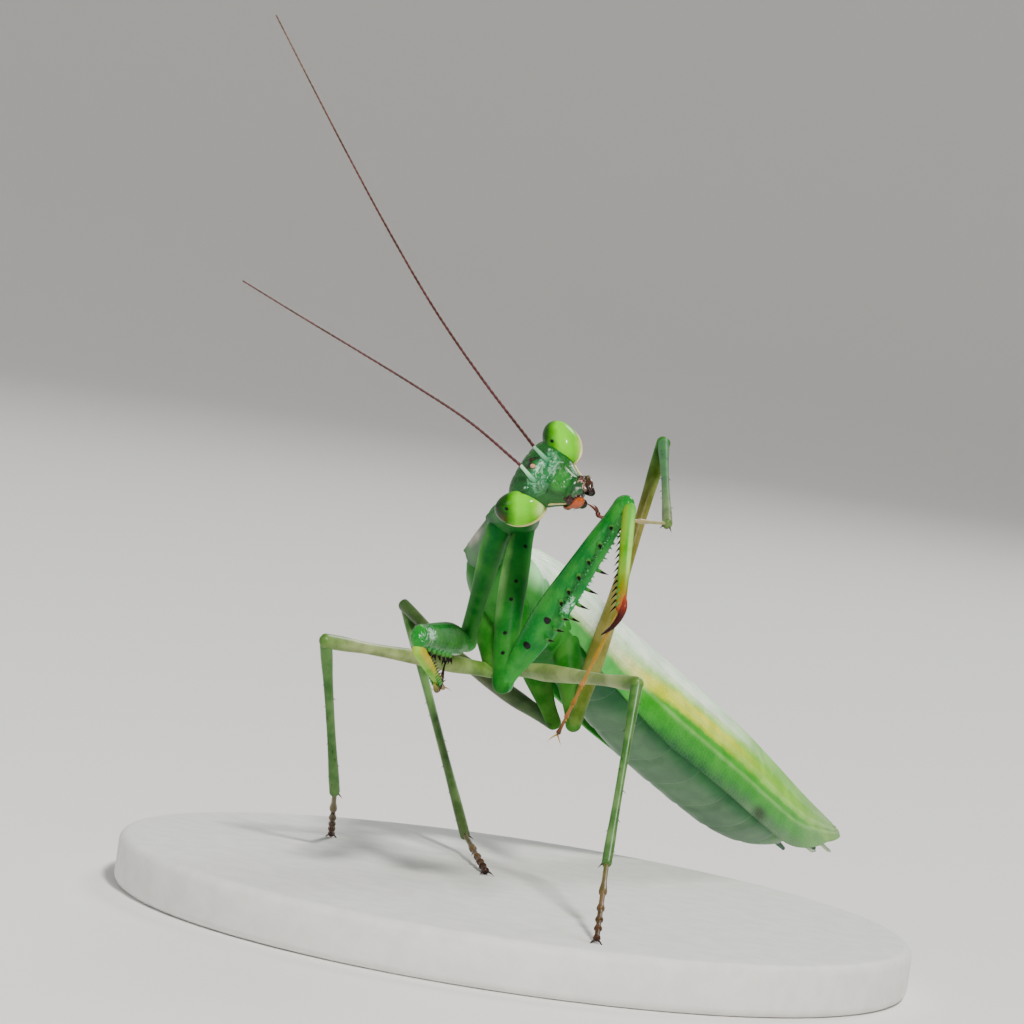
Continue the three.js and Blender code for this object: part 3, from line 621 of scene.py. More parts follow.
def faceRelief(x, z):
    lift = head['shield'] * plate(x, z, 1.0 - 0.1 * abs(z + 0.95), -1.22, -0.62, 0.14)
    lift -= head['shieldGroove'] * hump(z, -0.93 - 0.1 * x * x, 0.05) * fade(0.85 - abs(x), 0, 0.2)
    clypeusHalf = 0.92 - 0.24 * fade(-z, 1.3, 2.5)  # narrower towards the lip
    lift += head['clypeus'] * plate(x, z, clypeusHalf, -2.46, -1.28, 0.16)
    lift += head['clypeusKeel'] * hump(x, 0, 0.45) * plate(x, z, clypeusHalf, -2.4, -1.3, 0.3)
    lift -= head['clypeusGroove'] * hump(z, -1.25, 0.045) * fade(1.1 - abs(x), 0, 0.1)
    lift += head['ocelliMound'] * hump(x, 0, 0.42) * hump(z, 0.36, 0.38)
    socketX, socketZ = head['socket']
    for side in (-1, 1):
        reach = math.hypot(x - side * socketX, z - socketZ)
        lift += (head['socketRing'] * hump(reach, head['socketRadius'], 0.09)
                 - head['socketPit'] * hump(reach, 0, 0.22))
        lift -= head['crownGroove'] * hump(x - side * 0.72, 0.05 * (z - 0.7), 0.07) * fade(z, 0.25, 0.8)
        cheek = hump(x - side * (1.02 + 0.1 * z), 0, 0.05)
        lift -= head['cheekGroove'] * cheek * fade(-z, 0.5, 0.8) * fade(z, -1.5, -1.2)
        lift += head['socketSwelling'] * hump(x - side * 1.25, 0, 0.3) * hump(z, -0.1, 0.35)
    return lift


def headSurface(share, turn):
    z = lerp(head['rows'][0][0], head['rows'][-1][0], 0.5 - 0.5 * math.cos(math.pi * share))
    halfWidth, halfDepth, shift = headRows(z)
    angle = 2 * math.pi * turn
    across, ahead = math.sin(angle), math.cos(angle)
    x = max(halfWidth, 0) * squareOff(across, head['widthPower'])
    y = shift - max(halfDepth, 0) * squareOff(ahead, head['depthPower'])
    if share in (0, 1):
        x, y = 0, shift
    y -= faceRelief(x, z) * fade(ahead, 0.1, 0.6) * fade(share, 0, 0.03) * fade(1 - share, 0, 0.03)
    spot = Vector((x, y, z))
    return headFrame @ spot, spot


def faceY(x, z):  # the front of the face at a place on it
    halfWidth, halfDepth, shift = headRows(z)
    across = min(abs(x) / halfWidth, 1) ** (1 / head['widthPower'])
    ahead = math.sqrt(max(1 - across * across, 0))
    return shift - halfDepth * ahead ** head['depthPower'] - faceRelief(x, z) * fade(ahead, 0.1, 0.6)


eye = {
    'aside': 2.225,
    'centre': (0.05, 0.12),
    'half': (1.0, 1.05, 1.5),
    'tilt': 30,
    'detail': (72, 48),
    # painted light: this gradient runs from painted shade at its dark end to a painted highlight at its pale end
    'shadeWay': (0.53, 0.37, -0.76),  # from the dark end to the pale end
    'shadeShare': 0.37,
    'shadeShift': 0.38,
    'cloudScale': 0.9,
    'cloudShare': 0.22,
    'stops': [
        (0.0, (0.003, 0.03, 0.002)), (0.2, (0.008, 0.07, 0.002)), (0.31, (0.06, 0.34, 0.0)),
        (0.42, (0.19, 0.74, 0.0)), (0.6, (0.17, 0.68, 0.0)), (0.72, (0.12, 0.54, 0.0)),
        (0.82, (0.24, 0.6, 0.02)), (0.93, (0.55, 0.78, 0.26)), (1.0, (0.2, 0.45, 0.04)),
    ],
    'facetScale': 24.0,
    'facetEdge': 0.12,
    'facetTint': (0.02, 0.2, 0.01),
    'facetShare': 0.1,
    'rust': {'left': (3.1, 0.3, -0.9), 'right': (-3.12, -0.25, 0.45)},
    'pupil': {'left': (1.86, -0.95, 0.12), 'right': (-2.82, -0.86, 0.3)},
    'marks': [  # which place, tint, half size, softness, strength
        ('rust', (0.10, 0.016, 0.002), (0.45, 0.5, 0.5), 1.0, 0.75),
        ('pupil', (0.02, 0.22, 0.002), (0.26, 0.4, 0.4), 0.8, 0.6),
        ('pupil', (0.001, 0.006, 0.002), (0.11, 0.3, 0.18), 0.4, 1.0),
    ],
    'look': {'shine': 0.06, 'coat': 0.18, 'coatRough': 0.04, 'glow': 0.05, 'glowTint': (0.7, 1.0, 0.2),
             'glowDepth': 0.6 * mm},
    'rough': 0.25,
    'bump': (0.1, 0.01),  # strength, depth
}
eyeRim = {
    'swings': (-40, -15, 10, 35, 58, 80, 98),  # round the outer and lower edge of the eye
    'cheekHeights': (-1.55, -1.85, -2.15, -2.45),  # and on down the cheek
    'girth': [0.02, 0.05, 0.075, 0.085, 0.085, 0.085, 0.08, 0.075, 0.065, 0.055, 0.04],
}


def eyeTurn(side):
    centre = Vector((side * eye['aside'], *eye['centre']))
    return Matrix.Translation(centre) @ Matrix.Rotation(math.radians(side * eye['tilt']), 4, 'Y')


def eyeMaterial(name, side):
    # Dark green at the top and inside as painted shade, lime over the middle, whitish lime towards the mouth as a
    # painted highlight.
    material, tree = newMaterial(f'eyeLime_{name}')
    shader = tree.nodes['Principled BSDF']
    place = localPlace(tree)
    offset = vectorMath(tree, 'SUBTRACT', place, (side * eye['aside'], *eye['centre']))
    level = vectorMath(tree, 'DOT_PRODUCT', offset, eye['shadeWay'], 'Value')
    cloud = noiseAt(tree, place, eye['cloudScale'], 2.0)
    level = plus(tree, times(tree, level, eye['shadeShare']), times(tree, cloud, eye['cloudShare']))
    colour = colourRamp(tree, plus(tree, level, eye['shadeShift']), eye['stops'])
    facets = addNode(tree, 'ShaderNodeTexVoronoi', {'Vector': place, 'Scale': eye['facetScale']},
                     feature='DISTANCE_TO_EDGE').outputs['Distance']
    grid = smoothMask(tree, facets, 0.0, eye['facetEdge'])
    seams = calculate(tree, 'SUBTRACT', 1.0, grid)
    colour = paintOver(tree, colour, times(tree, seams, eye['facetShare']), eye['facetTint'])
    for where, tint, size, soft, strength in eye['marks']:
        mask = spotMask(tree, place, eye[where][name], size, soft)
        colour = paintOver(tree, colour, times(tree, mask, strength), tint)
    tree.links.new(colour, shader.inputs['Base Color'])
    shader.inputs['Roughness'].default_value = eye['rough']
    setShader(shader, eye['look'])
    linkBump(tree, grid, *eye['bump'])
    return material


face = {
    'warpScale': 1.1,
    'foldScale': 1.15,
    'foldTwist': 1.2,
    # the pale crease lines, sheen patches and flecks below are painted highlights and painted sheen
    'creaseEdge': 0.06,
    'sheenPatchScale': 1.7,
    'sheenPatchEdge': (0.44, 0.66),
    'sheenPatchTint': (0.09, 0.42, 0.20),
    'sheenPatchShare': 0.7,
    'glintFleckScale': 7.5,
    'glintFleckEdge': (0.52, 0.7),
    'glintFleckShare': 0.8,
    'sheenPart': ((0.0, -1.1, -0.6), (1.9, 0.9, 1.0), 0.7),  # centre, half size, softness
    'frontTint': (0.006, 0.17, 0.035),
    'glintShare': 0.8,
    'glintBase': 0.3,
    'glintTint': (0.50, 0.86, 0.64),
    'spots': [
        ((0.012, 0.19, 0.015), (0.0, -0.9, -1.85), (0.85, 0.8, 0.62), 0.4),
        ((0.006, 0.02, 0.008), (0.0, -1.0, 0.42), (0.3, 0.5, 0.42), 0.6),
        *mirrored((0.5, 0.8, 0.6), (1.3, -0.9, -0.14), (0.13, 0.4, 0.13), 0.8),
    ],
    'look': {'mottle': 0.7, 'gloss': 0.14, 'coat': 0.08, 'coatRough': 0.12, 'shine': 0.35},
    'bump': (0.5, 0.04),
}


def faceMaterial():
    # Dark leaf green, lighter over the front of the face, with a painted sheen in soft patches and painted
    # highlights along fine creases and in flecks over the shield and round the sockets.
    material, tree = newMaterial('faceGreen')
    place = localPlace(tree)
    warp = addNode(tree, 'ShaderNodeTexNoise', {'Vector': place, 'Scale': face['warpScale'], 'Detail': 2.0})
    bent = vectorMath(tree, 'ADD', place, warp.outputs['Color'])
    folds = noiseAt(tree, bent, face['foldScale'], 2.0, face['foldTwist'])
    ridge = calculate(tree, 'ABSOLUTE', calculate(tree, 'SUBTRACT', folds, 0.5))
    crease = smoothMask(tree, ridge, face['creaseEdge'], 0.0)
    # painted sheen in soft patches, and painted glints along the creases and in flecks
    sheenPatch = smoothMask(tree, noiseAt(tree, bent, face['sheenPatchScale'], 3.0), *face['sheenPatchEdge'])
    glintFlecks = smoothMask(tree, noiseAt(tree, place, face['glintFleckScale'], 3.0), *face['glintFleckEdge'])
    inSheenPart = spotMask(tree, place, *face['sheenPart'])
    colour = mixColour(tree, inSheenPart, (*leafGreen, 1), (*face['frontTint'], 1))
    sheen = times(tree, sheenPatch, inSheenPart)
    colour = paintOver(tree, colour, times(tree, sheen, face['sheenPatchShare']), face['sheenPatchTint'])
    glint = plus(tree, times(tree, sheen, face['glintShare']), face['glintBase'])
    pale = times(tree, calculate(tree, 'MAXIMUM', crease, times(tree, glintFlecks, face['glintFleckShare'])), glint)
    colour = paintOver(tree, colour, times(tree, pale, inSheenPart), face['glintTint'])
    colour = paintSpots(tree, place, colour, face['spots'])
    finishMaterial(material, colour, face['look'])
    linkBump(tree, plus(tree, crease, glintFlecks), *face['bump'])
    return material


faceGreen = faceMaterial()
eyeLime = {name: eyeMaterial(name, side) for name, side in leftAndRight.items()}
creamRim = plainMaterial('creamRim', cream, 0.25, coat=0.4, glow=0.2)
ocellusAmber = plainMaterial('ocellusAmber', (0.55, 0.25, 0.16), 0.05, coat=1.0, glow=0.2)
bristleDark = plainMaterial('bristleDark', (0.03, 0.015, 0.01), 0.4)


def eyeRimPoints(side):
    turn, half = eyeTurn(side), eye['half']
    points = []
    for angle in eyeRim['swings']:
        swing = math.radians(angle)
        back = 0.24 + 0.1 * math.cos(swing)
        size = math.sqrt(1 - (back / half[1]) ** 2) * 1.01  # just outside the eye's skin
        x, z = side * half[0] * size * math.cos(swing), -half[2] * size * math.sin(swing)
        points.append(turn @ Vector((x, back, z)))
    return points + [Vector((side * headRows(z)[0], -0.12, z)) for z in eyeRim['cheekHeights']]


def makeHead():
    shape = newShape()
    addSkin(shape, headSurface, head['grid'], head['grid'])
    for x, z in head['ocelli']:
        addBall(shape, headFrame, (x, faceY(x, z) - 0.02, z), head['ocellusHalf'], look=1 if x == 0 else 2)
    for side in (-1, 1):
        x, z = side * head['swellingPlace'][0], head['swellingPlace'][1]
        addBall(shape, headFrame, (x, faceY(x, z), z), head['swellingHalf'])
    makePiece('headSkin', shape, [faceGreen, ocellusAmber, bristleDark], ['head'])

    for name, side in leftAndRight.items():
        shape = newShape()
        addBall(shape, headFrame @ eyeTurn(side), (0, 0, 0), eye['half'], detail=eye['detail'])
        local = shape.verts.layers.float_vector['local']
        for vert in shape.verts:  # the markings follow the head's frame
            vert[local] = eyeTurn(side) @ vert[local]
        makePiece(f'eyeball_{name}', shape, [eyeLime[name]], [f'eye_{name}'])

    shape = newShape()
    upper = headFrame.to_3x3() @ Vector((0, -1, 0.2))
    for side in (-1, 1):
        path, length = pathThrough([headFrame @ point for point in eyeRimPoints(side)])
        addTube(shape, path, length, evenKeys(eyeRim['girth']), upper, rows=60, sides=12)
    makePiece('eyeRims', shape, [creamRim])


mouth = {
    'lip': ((0, -0.46, -2.8), (0.54, 0.26, 0.46), (-8, 0, 0), (32, 24)),  # centre, half size, tilt, detail
    'lobes': [
        ((0.5, -0.12, -2.72), (0.42, 0.48, 0.62), (0, -14, 0), (28, 20)),
        ((0.42, 0.1, -3.1), (0.3, 0.34, 0.4), (0, 10, 0), (28, 20)),
        ((0.3, -0.5, -3.16), (0.17, 0.14, 0.24), (20, 18, 0), (20, 14)),
        ((0.74, -0.36, -2.5), (0.16, 0.2, 0.3), (0, -20, 0), (20, 14)),
    ],
    'lumps': ((2600, 0.05), (6000, 0.02)),  # scale per metre, height
    'bristles': 34,
    'bristleLength': (0.3, 0.6),
    'bristleRadius': 0.022,
    'lipLook': {
        'along': oneColour((0.03, 0.10, 0.035)), 'mottle': 1.0, 'gloss': 0.08, 'coat': 0.4, 'glow': 0.1,
        # painted highlight: pale glints on the lip
        'coatRough': 0.06, 'relief': 0.8, 'paintedGlints': ((0.42, 0.46, 0.38), (0.1, -0.75, -2.9), (0.45, 0.5, 0.4)),
        'spots': [(black, (0.0, -0.4, -3.4), (0.7, 0.5, 0.3), 0.6)],
    },
    'lobeLook': {
        'along': [(0.0, (0.03, 0.008, 0.005)), (1.0, (0.006, 0.003, 0.003))], 'span': (-0.6, 0.3),
        'gloss': 0.1, 'coat': 0.5, 'mottle': 0.8, 'relief': 0.8,
        # painted highlight: pinkish glints on the mouthparts
        'paintedGlints': ((0.6, 0.36, 0.28), (0.2, -0.6, -2.85), (1.3, 1.0, 0.9)),
    },
}


def makeMouth():
    shape = newShape()
    centre, half, tilt, detail = mouth['lip']
    addBall(shape, headFrame, centre, half, tilt, 0, detail)
    for side in (-1, 1):
        for (x, y, z), half, (nod, roll, swing), detail in mouth['lobes']:
            addBall(shape, headFrame, (side * x, y, z), half, (nod, side * roll, swing), 1, detail)
    for vert in shape.verts:  # uneven, lobed mouthparts
        lumps = [noise.noise_vector(vert.co * scale) * height * mm for scale, height in mouth['lumps']]
        vert.co += lumps[0] + lumps[1]
    looks = [cuticleMaterial('lipGrey', mouth['lipLook']), cuticleMaterial('mandibleBrown', mouth['lobeLook'])]
    makePiece('mouth', shape, looks)


def makeBristles():
    shape = newShape()
    turn = headFrame.to_3x3()
    for i in range(mouth['bristles']):
        side = chance.choice((-1, 1))
        root = Vector((side * chance.uniform(0.1, 0.85), chance.uniform(-0.6, 0.2), chance.uniform(-3.3, -2.4)))
        way = Vector((side * chance.uniform(0.1, 0.9), chance.uniform(-1, -0.1), chance.uniform(-1, 0.1)))
        addSpike(shape, headFrame @ root, turn @ way, chance.uniform(*mouth['bristleLength']),
                 mouth['bristleRadius'], sides=5, rows=3)
    makePiece('mouthBristles', shape, [bristleDark])


palp = {
    'points': [(0.9, 0.35, -2.1), (1.05, 0.05, -2.55), (0.9, -0.4, -3.05), (0.3, -0.66, -3.6)],
    'girth': {
        'left': [0.1, 0.15, 0.1, 0.15, 0.1, 0.15, 0.2, 0.18, 0.08],
        'right': [0.1, 0.14, 0.1, 0.13, 0.11, 0.18, 0.26, 0.25, 0.1],
    },
    'looks': {
        'left': {
            'along': [(0.0, (0.035, 0.011, 0.006)), (0.5, (0.093, 0.026, 0.011)), (1.0, (0.012, 0.004, 0.003))],
            'span': (0, 2.4), 'gloss': 0.15, 'coat': 0.8, 'glow': 0.2,
        },
        'right': {
            'along': [(0.0, (0.047, 0.01, 0.004)), (0.4, (0.205, 0.035, 0.002)), (0.62, (0.40, 0.062, 0.0)),
                      (0.85, (0.38, 0.062, 0.0)), (1.0, (0.029, 0.008, 0.005))],
            'span': (0, 2.4), 'gloss': 0.2, 'coat': 0.6, 'coatRough': 0.05, 'glow': 0.1,
        },
    },
}
palpLooks = {'left': cuticleMaterial('palpBrown', palp['looks']['left']),
             'right': cuticleMaterial('palpOrange', palp['looks']['right'])}


def makePalps():
    upper = headFrame.to_3x3() @ Vector((0, -0.3, 1))
    for name, side in leftAndRight.items():
        shape = newShape()
        path, length = pathThrough([headFrame @ Vector((side * x, y, z)) for x, y, z in palp['points']])
        addTube(shape, path, length, evenKeys(palp['girth'][name]), upper, rows=36, sides=12)
        makePiece(f'palpDetail_{name}', shape, [palpLooks[name]], [f'palp_{name}'])


antenna = {
    'thickness': 0.19,
    'tipThickness': 0.09,
    'jointLength': 0.34,
    'scape': {'left': (0.94, -1.6, 0.48), 'right': (-0.38, -1.6, 0.52)},
    'scapeGirth': [0.17, 0.14, 0.12, 0.1],
    'length': {'left': 28.6, 'right': 19.0},
    'heading': {'left': -54, 'right': -52},
    'rise': {'left': (44, 47, 51, 53, 54, 54.5), 'right': (32, 25, 23, 22.5, 23)},
}
antennaBrown = cuticleMaterial('antennaBrown', {
    'along': [(0.0, (0.059, 0.006, 0.006)), (0.4, (0.064, 0.01, 0.009)), (0.75, (0.084, 0.026, 0.018)),
              (1.0, (0.114, 0.059, 0.037))],
    'span': (0, 28), 'gloss': 0.35, 'coat': 0.1, 'mottle': 0.9,
})
# pale towards the end: partly the scape's own pale green, partly a painted highlight
scapeGreen = cuticleMaterial('scapeGreen', {
    'along': [(0.0, (0.03, 0.26, 0.08)), (0.5, (0.16, 0.5, 0.26)), (1.0, (0.3, 0.52, 0.34))],
    'span': (0, 1.3), 'gloss': 0.1, 'coat': 0.6, 'mottle': 0.9,
})


def makeAntenna(name, side):
    shape = newShape()
    x, z = side * head['socket'][0], head['socket'][1]
    start = headFrame @ Vector((x, faceY(x, z) + 0.05, z))
    elbow = headFrame @ Vector(antenna['scape'][name])
    addRod(shape, start, elbow, antenna['scapeGirth'], worldUp, rows=20, sides=14, look=1)
    length, rises = antenna['length'][name], antenna['rise'][name]
    points = [elbow]
    for rise in rises:
        points.append(points[-1] + direction(antenna['heading'][name], rise) * (length / len(rises)))
    path, reach = pathThrough(points)
    joints = int(length / antenna['jointLength'])

    def girth(share):
        thin = lerp(antenna['thickness'], antenna['tipThickness'], share ** 0.8) / 2
        return thin * (0.8 + 0.25 * abs(math.sin(math.pi * joints * share)) ** 0.6)  # beaded
    addTube(shape, path, reach, girth, worldUp, rows=joints * 5, sides=8, ease=0)
    makePiece(f'feeler_{name}', shape, [antennaBrown, scapeGreen], [f'antenna_{name}'])


makeHead()
makeMouth()
makePalps()
makeBristles()
for name, side in leftAndRight.items():
    makeAntenna(name, side)
print('head made')


prothorax = {
    'rows': [  # place, half width, half height
        (-14.4, 0.95, 0.8), (-13.4, 1.12, 0.95), (-12, 1.35, 1.05), (-10.9, 1.52, 1.08), (-9.6, 1.3, 1.02),
        (-8, 1.28, 1.1), (-4, 1.25, 1.1), (-1.4, 1.22, 1.05), (-0.5, 1.15, 0.95), (-0.25, 0.7, 0.6),
    ],
    'back': -0.25,
    'endRound': 0.5,
    'widthPower': 0.85,
    'heightPower': 0.95,
    'groove': -10.9,
    'grooveDepth': 0.13,
    'keel': 0.16,
    'margin': 0.1,
    'marginTeeth': 42,
    'toothHeight': 0.05,
    'bellyGroove': 0.1,
    'grid': (240, 72),
    'look': {
        'along': [(0.0, (0.003, 0.09, 0.01)), (0.2, (0.004, 0.11, 0.014)), (0.7, leafGreen), (1.0, freshGreen)],
        'span': (-14.6, 0), 'mottle': 0.8, 'gloss': 0.4, 'coat': 0.0, 'relief': 0.6,
        'under': ((0.005, 0.12, 0.014), -0.9, -0.1),
        # painted highlight: pale patches on both sides of the pronotum
        'spots': mirrored((0.46, 0.42, 0.36), (-1.35, -5.2, 0.3), (0.7, 4.2, 0.75), 0.9),
    },
    'neckGirth': [0.78, 0.74, 0.72, 0.76],
    'neckLook': {'along': [(0.0, (0.004, 0.10, 0.014)), (1.0, (0.006, 0.11, 0.016))], 'span': (0, 3),
                 'gloss': 0.4, 'mottle': 0.7},
}
prothoraxRows = smoothKeys(prothorax['rows'])


def prothoraxSurface(share, turn):
    front, back = -pose['prothoraxLength'], prothorax['back']
    y = lerp(front, back, share)
    halfWidth, halfHeight = prothoraxRows(y)
    cap = capShape((y - front) / prothorax['endRound']) * capShape((back - y) / prothorax['endRound'])
    angle = 2 * math.pi * turn
    across, height = math.cos(angle), math.sin(angle)
    x = halfWidth * squareOff(across, prothorax['widthPower'])
    z = halfHeight * squareOff(height, prothorax['heightPower'])
    if height > 0:
        z += prothorax['keel'] * hump(across, 0, 0.13)
        z -= prothorax['grooveDepth'] * hump(y, prothorax['groove'] + 0.35 * abs(across), 0.13)
    if height < 0:
        z += prothorax['bellyGroove'] * hump(across, 0, 0.3)
    tooth = 0.5 + 0.5 * math.sin(2 * math.pi * prothorax['marginTeeth'] * share)
    margin = hump(height, 0.12, 0.1) * (prothorax['margin'] + prothorax['toothHeight'] * tooth)
    spot = Vector(((x + math.copysign(margin, across)) * cap, y, z * cap))
    return prothoraxFrame @ spot, spot


def neckRelief(angle, along, radius):
    return 0.05 * math.sin(along * 9) + 0.03 * math.sin(3 * angle)


def makeProthorax():
    shape = newShape()
    addSkin(shape, prothoraxSurface, *prothorax['grid'])
    skin = cuticleMaterial('prothoraxGreen', prothorax['look'])
    makePiece('pronotum', shape, [skin], ['prothorax'])

    shape = newShape()
    start = prothoraxFrame @ Vector((0, -pose['prothoraxLength'] + 0.9, 0.1))
    end = headFrame @ Vector((0, 0.55, 0.6))
    addRod(shape, start, end, prothorax['neckGirth'], worldUp, rows=40, sides=32, relief=neckRelief)
    skin = cuticleMaterial('neckGreen', prothorax['neckLook'])
    makePiece('neckFolds', shape, [skin], ['neck'])


makeProthorax()
print('prothorax made')


thorax = {
    'rows': [  # place, half width, half height, lift
        (0.05, 0.75, 0.65, 0), (0.5, 1.5, 1.35, -0.15), (1.6, 2.0, 2.0, -0.4), (3.4, 2.35, 2.4, -0.7),
        (5.2, 2.3, 2.2, -1.0), (7.2, 2.3, 1.95, -1.5), (9.2, 2.25, 1.75, -1.8), (11.2, 2.1, 1.65, -1.9),
    ],
    'folds': [(3.9, 0.1, 0.25), (6.6, 0.1, 0.22)],  # place, depth, width
    'sideFold': 0.06,
    'grid': (110, 72),
    'look': {
        'along': [(0.0, freshGreen), (1.0, (0.002, 0.176, 0.002))], 'span': (0, 11), 'mottle': 0.7,
        'under': ((0.002, 0.187, 0.002), -3.0, -1.6),
        # painted highlight: pale green patches on both sides of the thorax near the wing roots
        'spots': mirrored((0.26, 0.66, 0.28), (2.2, 3.0, 0.2), (1.5, 2.6, 1.6), 1.0),
    },
}
thoraxRows = smoothKeys(thorax['rows'])


def thoraxSurface(share, turn):
    front, back = thorax['rows'][0][0], thorax['rows'][-1][0]
    y = lerp(front, back, share)
    halfWidth, halfHeight, lift = thoraxRows(y)
    cap = capShape((y - front) / 0.4) * capShape((back - y) / 0.6)
    angle = 2 * math.pi * turn
    across, height = math.cos(angle), math.sin(angle)
    fold = sum(depth * hump(y, place - 0.8 * height, width) for place, depth, width in thorax['folds'])
    fold += thorax['sideFold'] * hump(height, -0.2, 0.12)
    size = 1 - fold / halfWidth
    spot = Vector((halfWidth * size * across * cap, y, lift + halfHeight * size * height * cap))
    return trunkFrame @ spot, spot


abdomen = {
    'start': 10.3,
    'length': 28.1,
    'rings': 8,
    'halfWidth': 2.65,
    'halfHeight': 2.15,
    'widthPower': 0.92,
    'girth': [(0, 0.78), (0.2, 0.92), (0.5, 1.0), (0.75, 0.98), (0.9, 0.8), (1.0, 0.4)],
    'sideFold': 0.1,  # between the back plates and the belly plates
    'bellyGroove': 0.16,
    'grid': (320, 72),
    'look': {
        # the darker bluish green at the front of the abdomen is painted shade where it meets the thorax
        'along': [(0.0, (0.02, 0.09, 0.045)), (0.2, (0.014, 0.14, 0.03)), (0.5, (0.012, 0.20, 0.014)),
                  (0.85, (0.02, 0.20, 0.02)), (1.0, (0.10, 0.24, 0.06))],
        'span': (10.3, 38.4), 'mottle': 0.4, 'gloss': 0.34, 'bothSides': True,
        'aside': ((0.006, 0.15, 0.03), 1.4, 2.3), 'under': ((0.09, 0.20, 0.10), -3.9, -3.1),
    },
    'cercusRoot': (0.85, -0.7, -1.85),  # aside, past the tip, up
    'cercusLength': 3.4,
    'cercusSpread': 6,
    'cercusGirth': (0.3, 0.12),
    'cercusJoints': 9,
}
abdomenGirth = smoothKeys(abdomen['girth'])
abdomenGreen = cuticleMaterial('abdomenGreen', abdomen['look'])


def abdomenSurface(share, turn):
    y = abdomen['start'] + share * abdomen['length']
    ringShare = (share * abdomen['rings']) % 1
    swell = 0.955 + 0.055 * fade(ringShare, 0, 0.3) + 0.012 * fade(ringShare, 0.55, 0.95)
    swell -= 0.05 * fade(ringShare, 0.965, 1)
    girth = abdomenGirth(share)[0] * swell
    lift = -1.5 - 0.95 * fade(share, 0, 0.45) + 0.4 * fade(share, 0.75, 1)
    cap = capShape(share / 0.02) * capShape((1 - share) / 0.06)
    angle = 2 * math.pi * turn
    across, height = math.cos(angle), math.sin(angle)
    sideFold = abdomen['sideFold'] * hump(height, -0.34, 0.07)
    x = (abdomen['halfWidth'] * girth - sideFold) * squareOff(across, abdomen['widthPower'])
    z = lift + abdomen['halfHeight'] * girth * height
    if height < -0.4:
        z += abdomen['bellyGroove'] * hump(across, 0, 0.5)
    spot = Vector((x * cap, y, lift + (z - lift) * cap))
    return trunkFrame @ spot, spot


def cercusGirth(share):
    thick, thin = abdomen['cercusGirth']
    bead = abs(math.sin(math.pi * abdomen['cercusJoints'] * share))
    return lerp(thick, thin, share ** 1.5) * (0.9 + 0.12 * bead)


def makeTrunk():
    shape = newShape()
    addSkin(shape, thoraxSurface, *thorax['grid'])
    makePiece('thoraxSkin', shape, [cuticleMaterial('thoraxGreen', thorax['look'])], ['thorax'])

    shape = newShape()
    addSkin(shape, abdomenSurface, *abdomen['grid'])
    makePiece('abdomenRings', shape, [abdomenGreen], ['abdomen'])

    x, past, z = abdomen['cercusRoot']
    spread = math.radians(abdomen['cercusSpread'])
    for name, side in leftAndRight.items():
        shape = newShape()
        root = Vector((side * x, abdomen['start'] + abdomen['length'] + past, z))
        way = Vector((side * math.sin(spread), math.cos(spread), 0))
        steps = (0, 1.1, 2.2, abdomen['cercusLength'])
        path, length = pathThrough([trunkFrame @ (root + way * step) for step in steps])
        addTube(shape, path, length, cercusGirth, worldUp, rows=60, sides=12)
        makePiece(f'cercusDetail_{name}', shape, [abdomenGreen], [f'cercus_{name}'])


makeTrunk()
print('trunk made')


wing = {
    'root': 1.9,
    'tegmenLength': 41.6,
    'tegmenThickness': 0.16,
    'tegmenGrid': (190, 110),
    'hindRoot': 2.6,
    'hindLength': 41.2,
    'hindInset': 1.85,
    'hindThickness': 0.08,
    'hindGrid': (90, 60),
    'hindGap': 0.45,  # from the middle line
    'pleat': (0.06, 40),  # height, and radians over the width
    'halfWidth': (2.5, 3.4, 1.8),  # at the root, along the body, and what the tip loses of it
    'top': (1.8, 2.1, 1.1),
    'shoulder': 0.7,
    'lowerEdge': (-0.5, -2.15, 0.9),
    'innerAngle': (-6, 24),  # round the body with 0 on top: at the root, and how much further past it
    'outerAngle': (12, 58),  # at the tip, and how much further before it
    'shoulderDrop': 8,
    'hang': {'left': 38, 'right': 22},
    'rootReach': 24,
    'lap': 0.9,  # how far the right wing lies under the left one
    'rootTuck': 0.55,
    'flankTuck': 0.75,
    'veinLift': 0.07,
    'veins': [  # place at the root, place at the tip, width
        (0.30, 0.10, 0.006), (0.36, 0.24, 0.006), (0.42, 0.38, 0.007), (0.52, 0.52, 0.007),
        (0.6, 0.66, 0.008), (0.7, 0.78, 0.012), (0.84, 0.86, 0.008),
    ],
}


def archPoint(side, u, place, angle, inset, aside=0.0):
    wide, top, edge = wing['halfWidth'], wing['top'], wing['lowerEdge']
    halfWidth = lerp(wide[0], wide[1], fade(u, 0, 0.25)) - wide[2] * fade(u, 0.6, 1.05)
    crown = lerp(top[0], top[1], fade(u, 0, 0.2)) - top[2] * fade(u, 0.5, 1.05)
    crown += wing['shoulder'] * hump(u, 0.1, 0.11)
    low = lerp(edge[0], edge[1], fade(u, 0, 0.3)) + edge[2] * fade(u, 0.65, 1)
    turn = math.radians(min(angle, 90))
    x = aside + max(halfWidth - inset - aside, 0.5) * math.sin(turn)
    hang = max(0, angle - 90) / 90  # past the side of the body the wing hangs straight down
    z = low + (crown - low - inset) * math.cos(turn) - 6.5 * hang
    return Vector((side * (x - 6 * hang * hang), place, z))


def tipRound(u):
    past = max(0, u - 0.8) / 0.22
    return math.sqrt(max(0, 1 - past * past))


def veinHeight(u, v):  # long veins that fan out from the root
    return max(hump(v, lerp(start, end, fade(u, 0, 0.8)), width * 1.4) for start, end, width in wing['veins'])


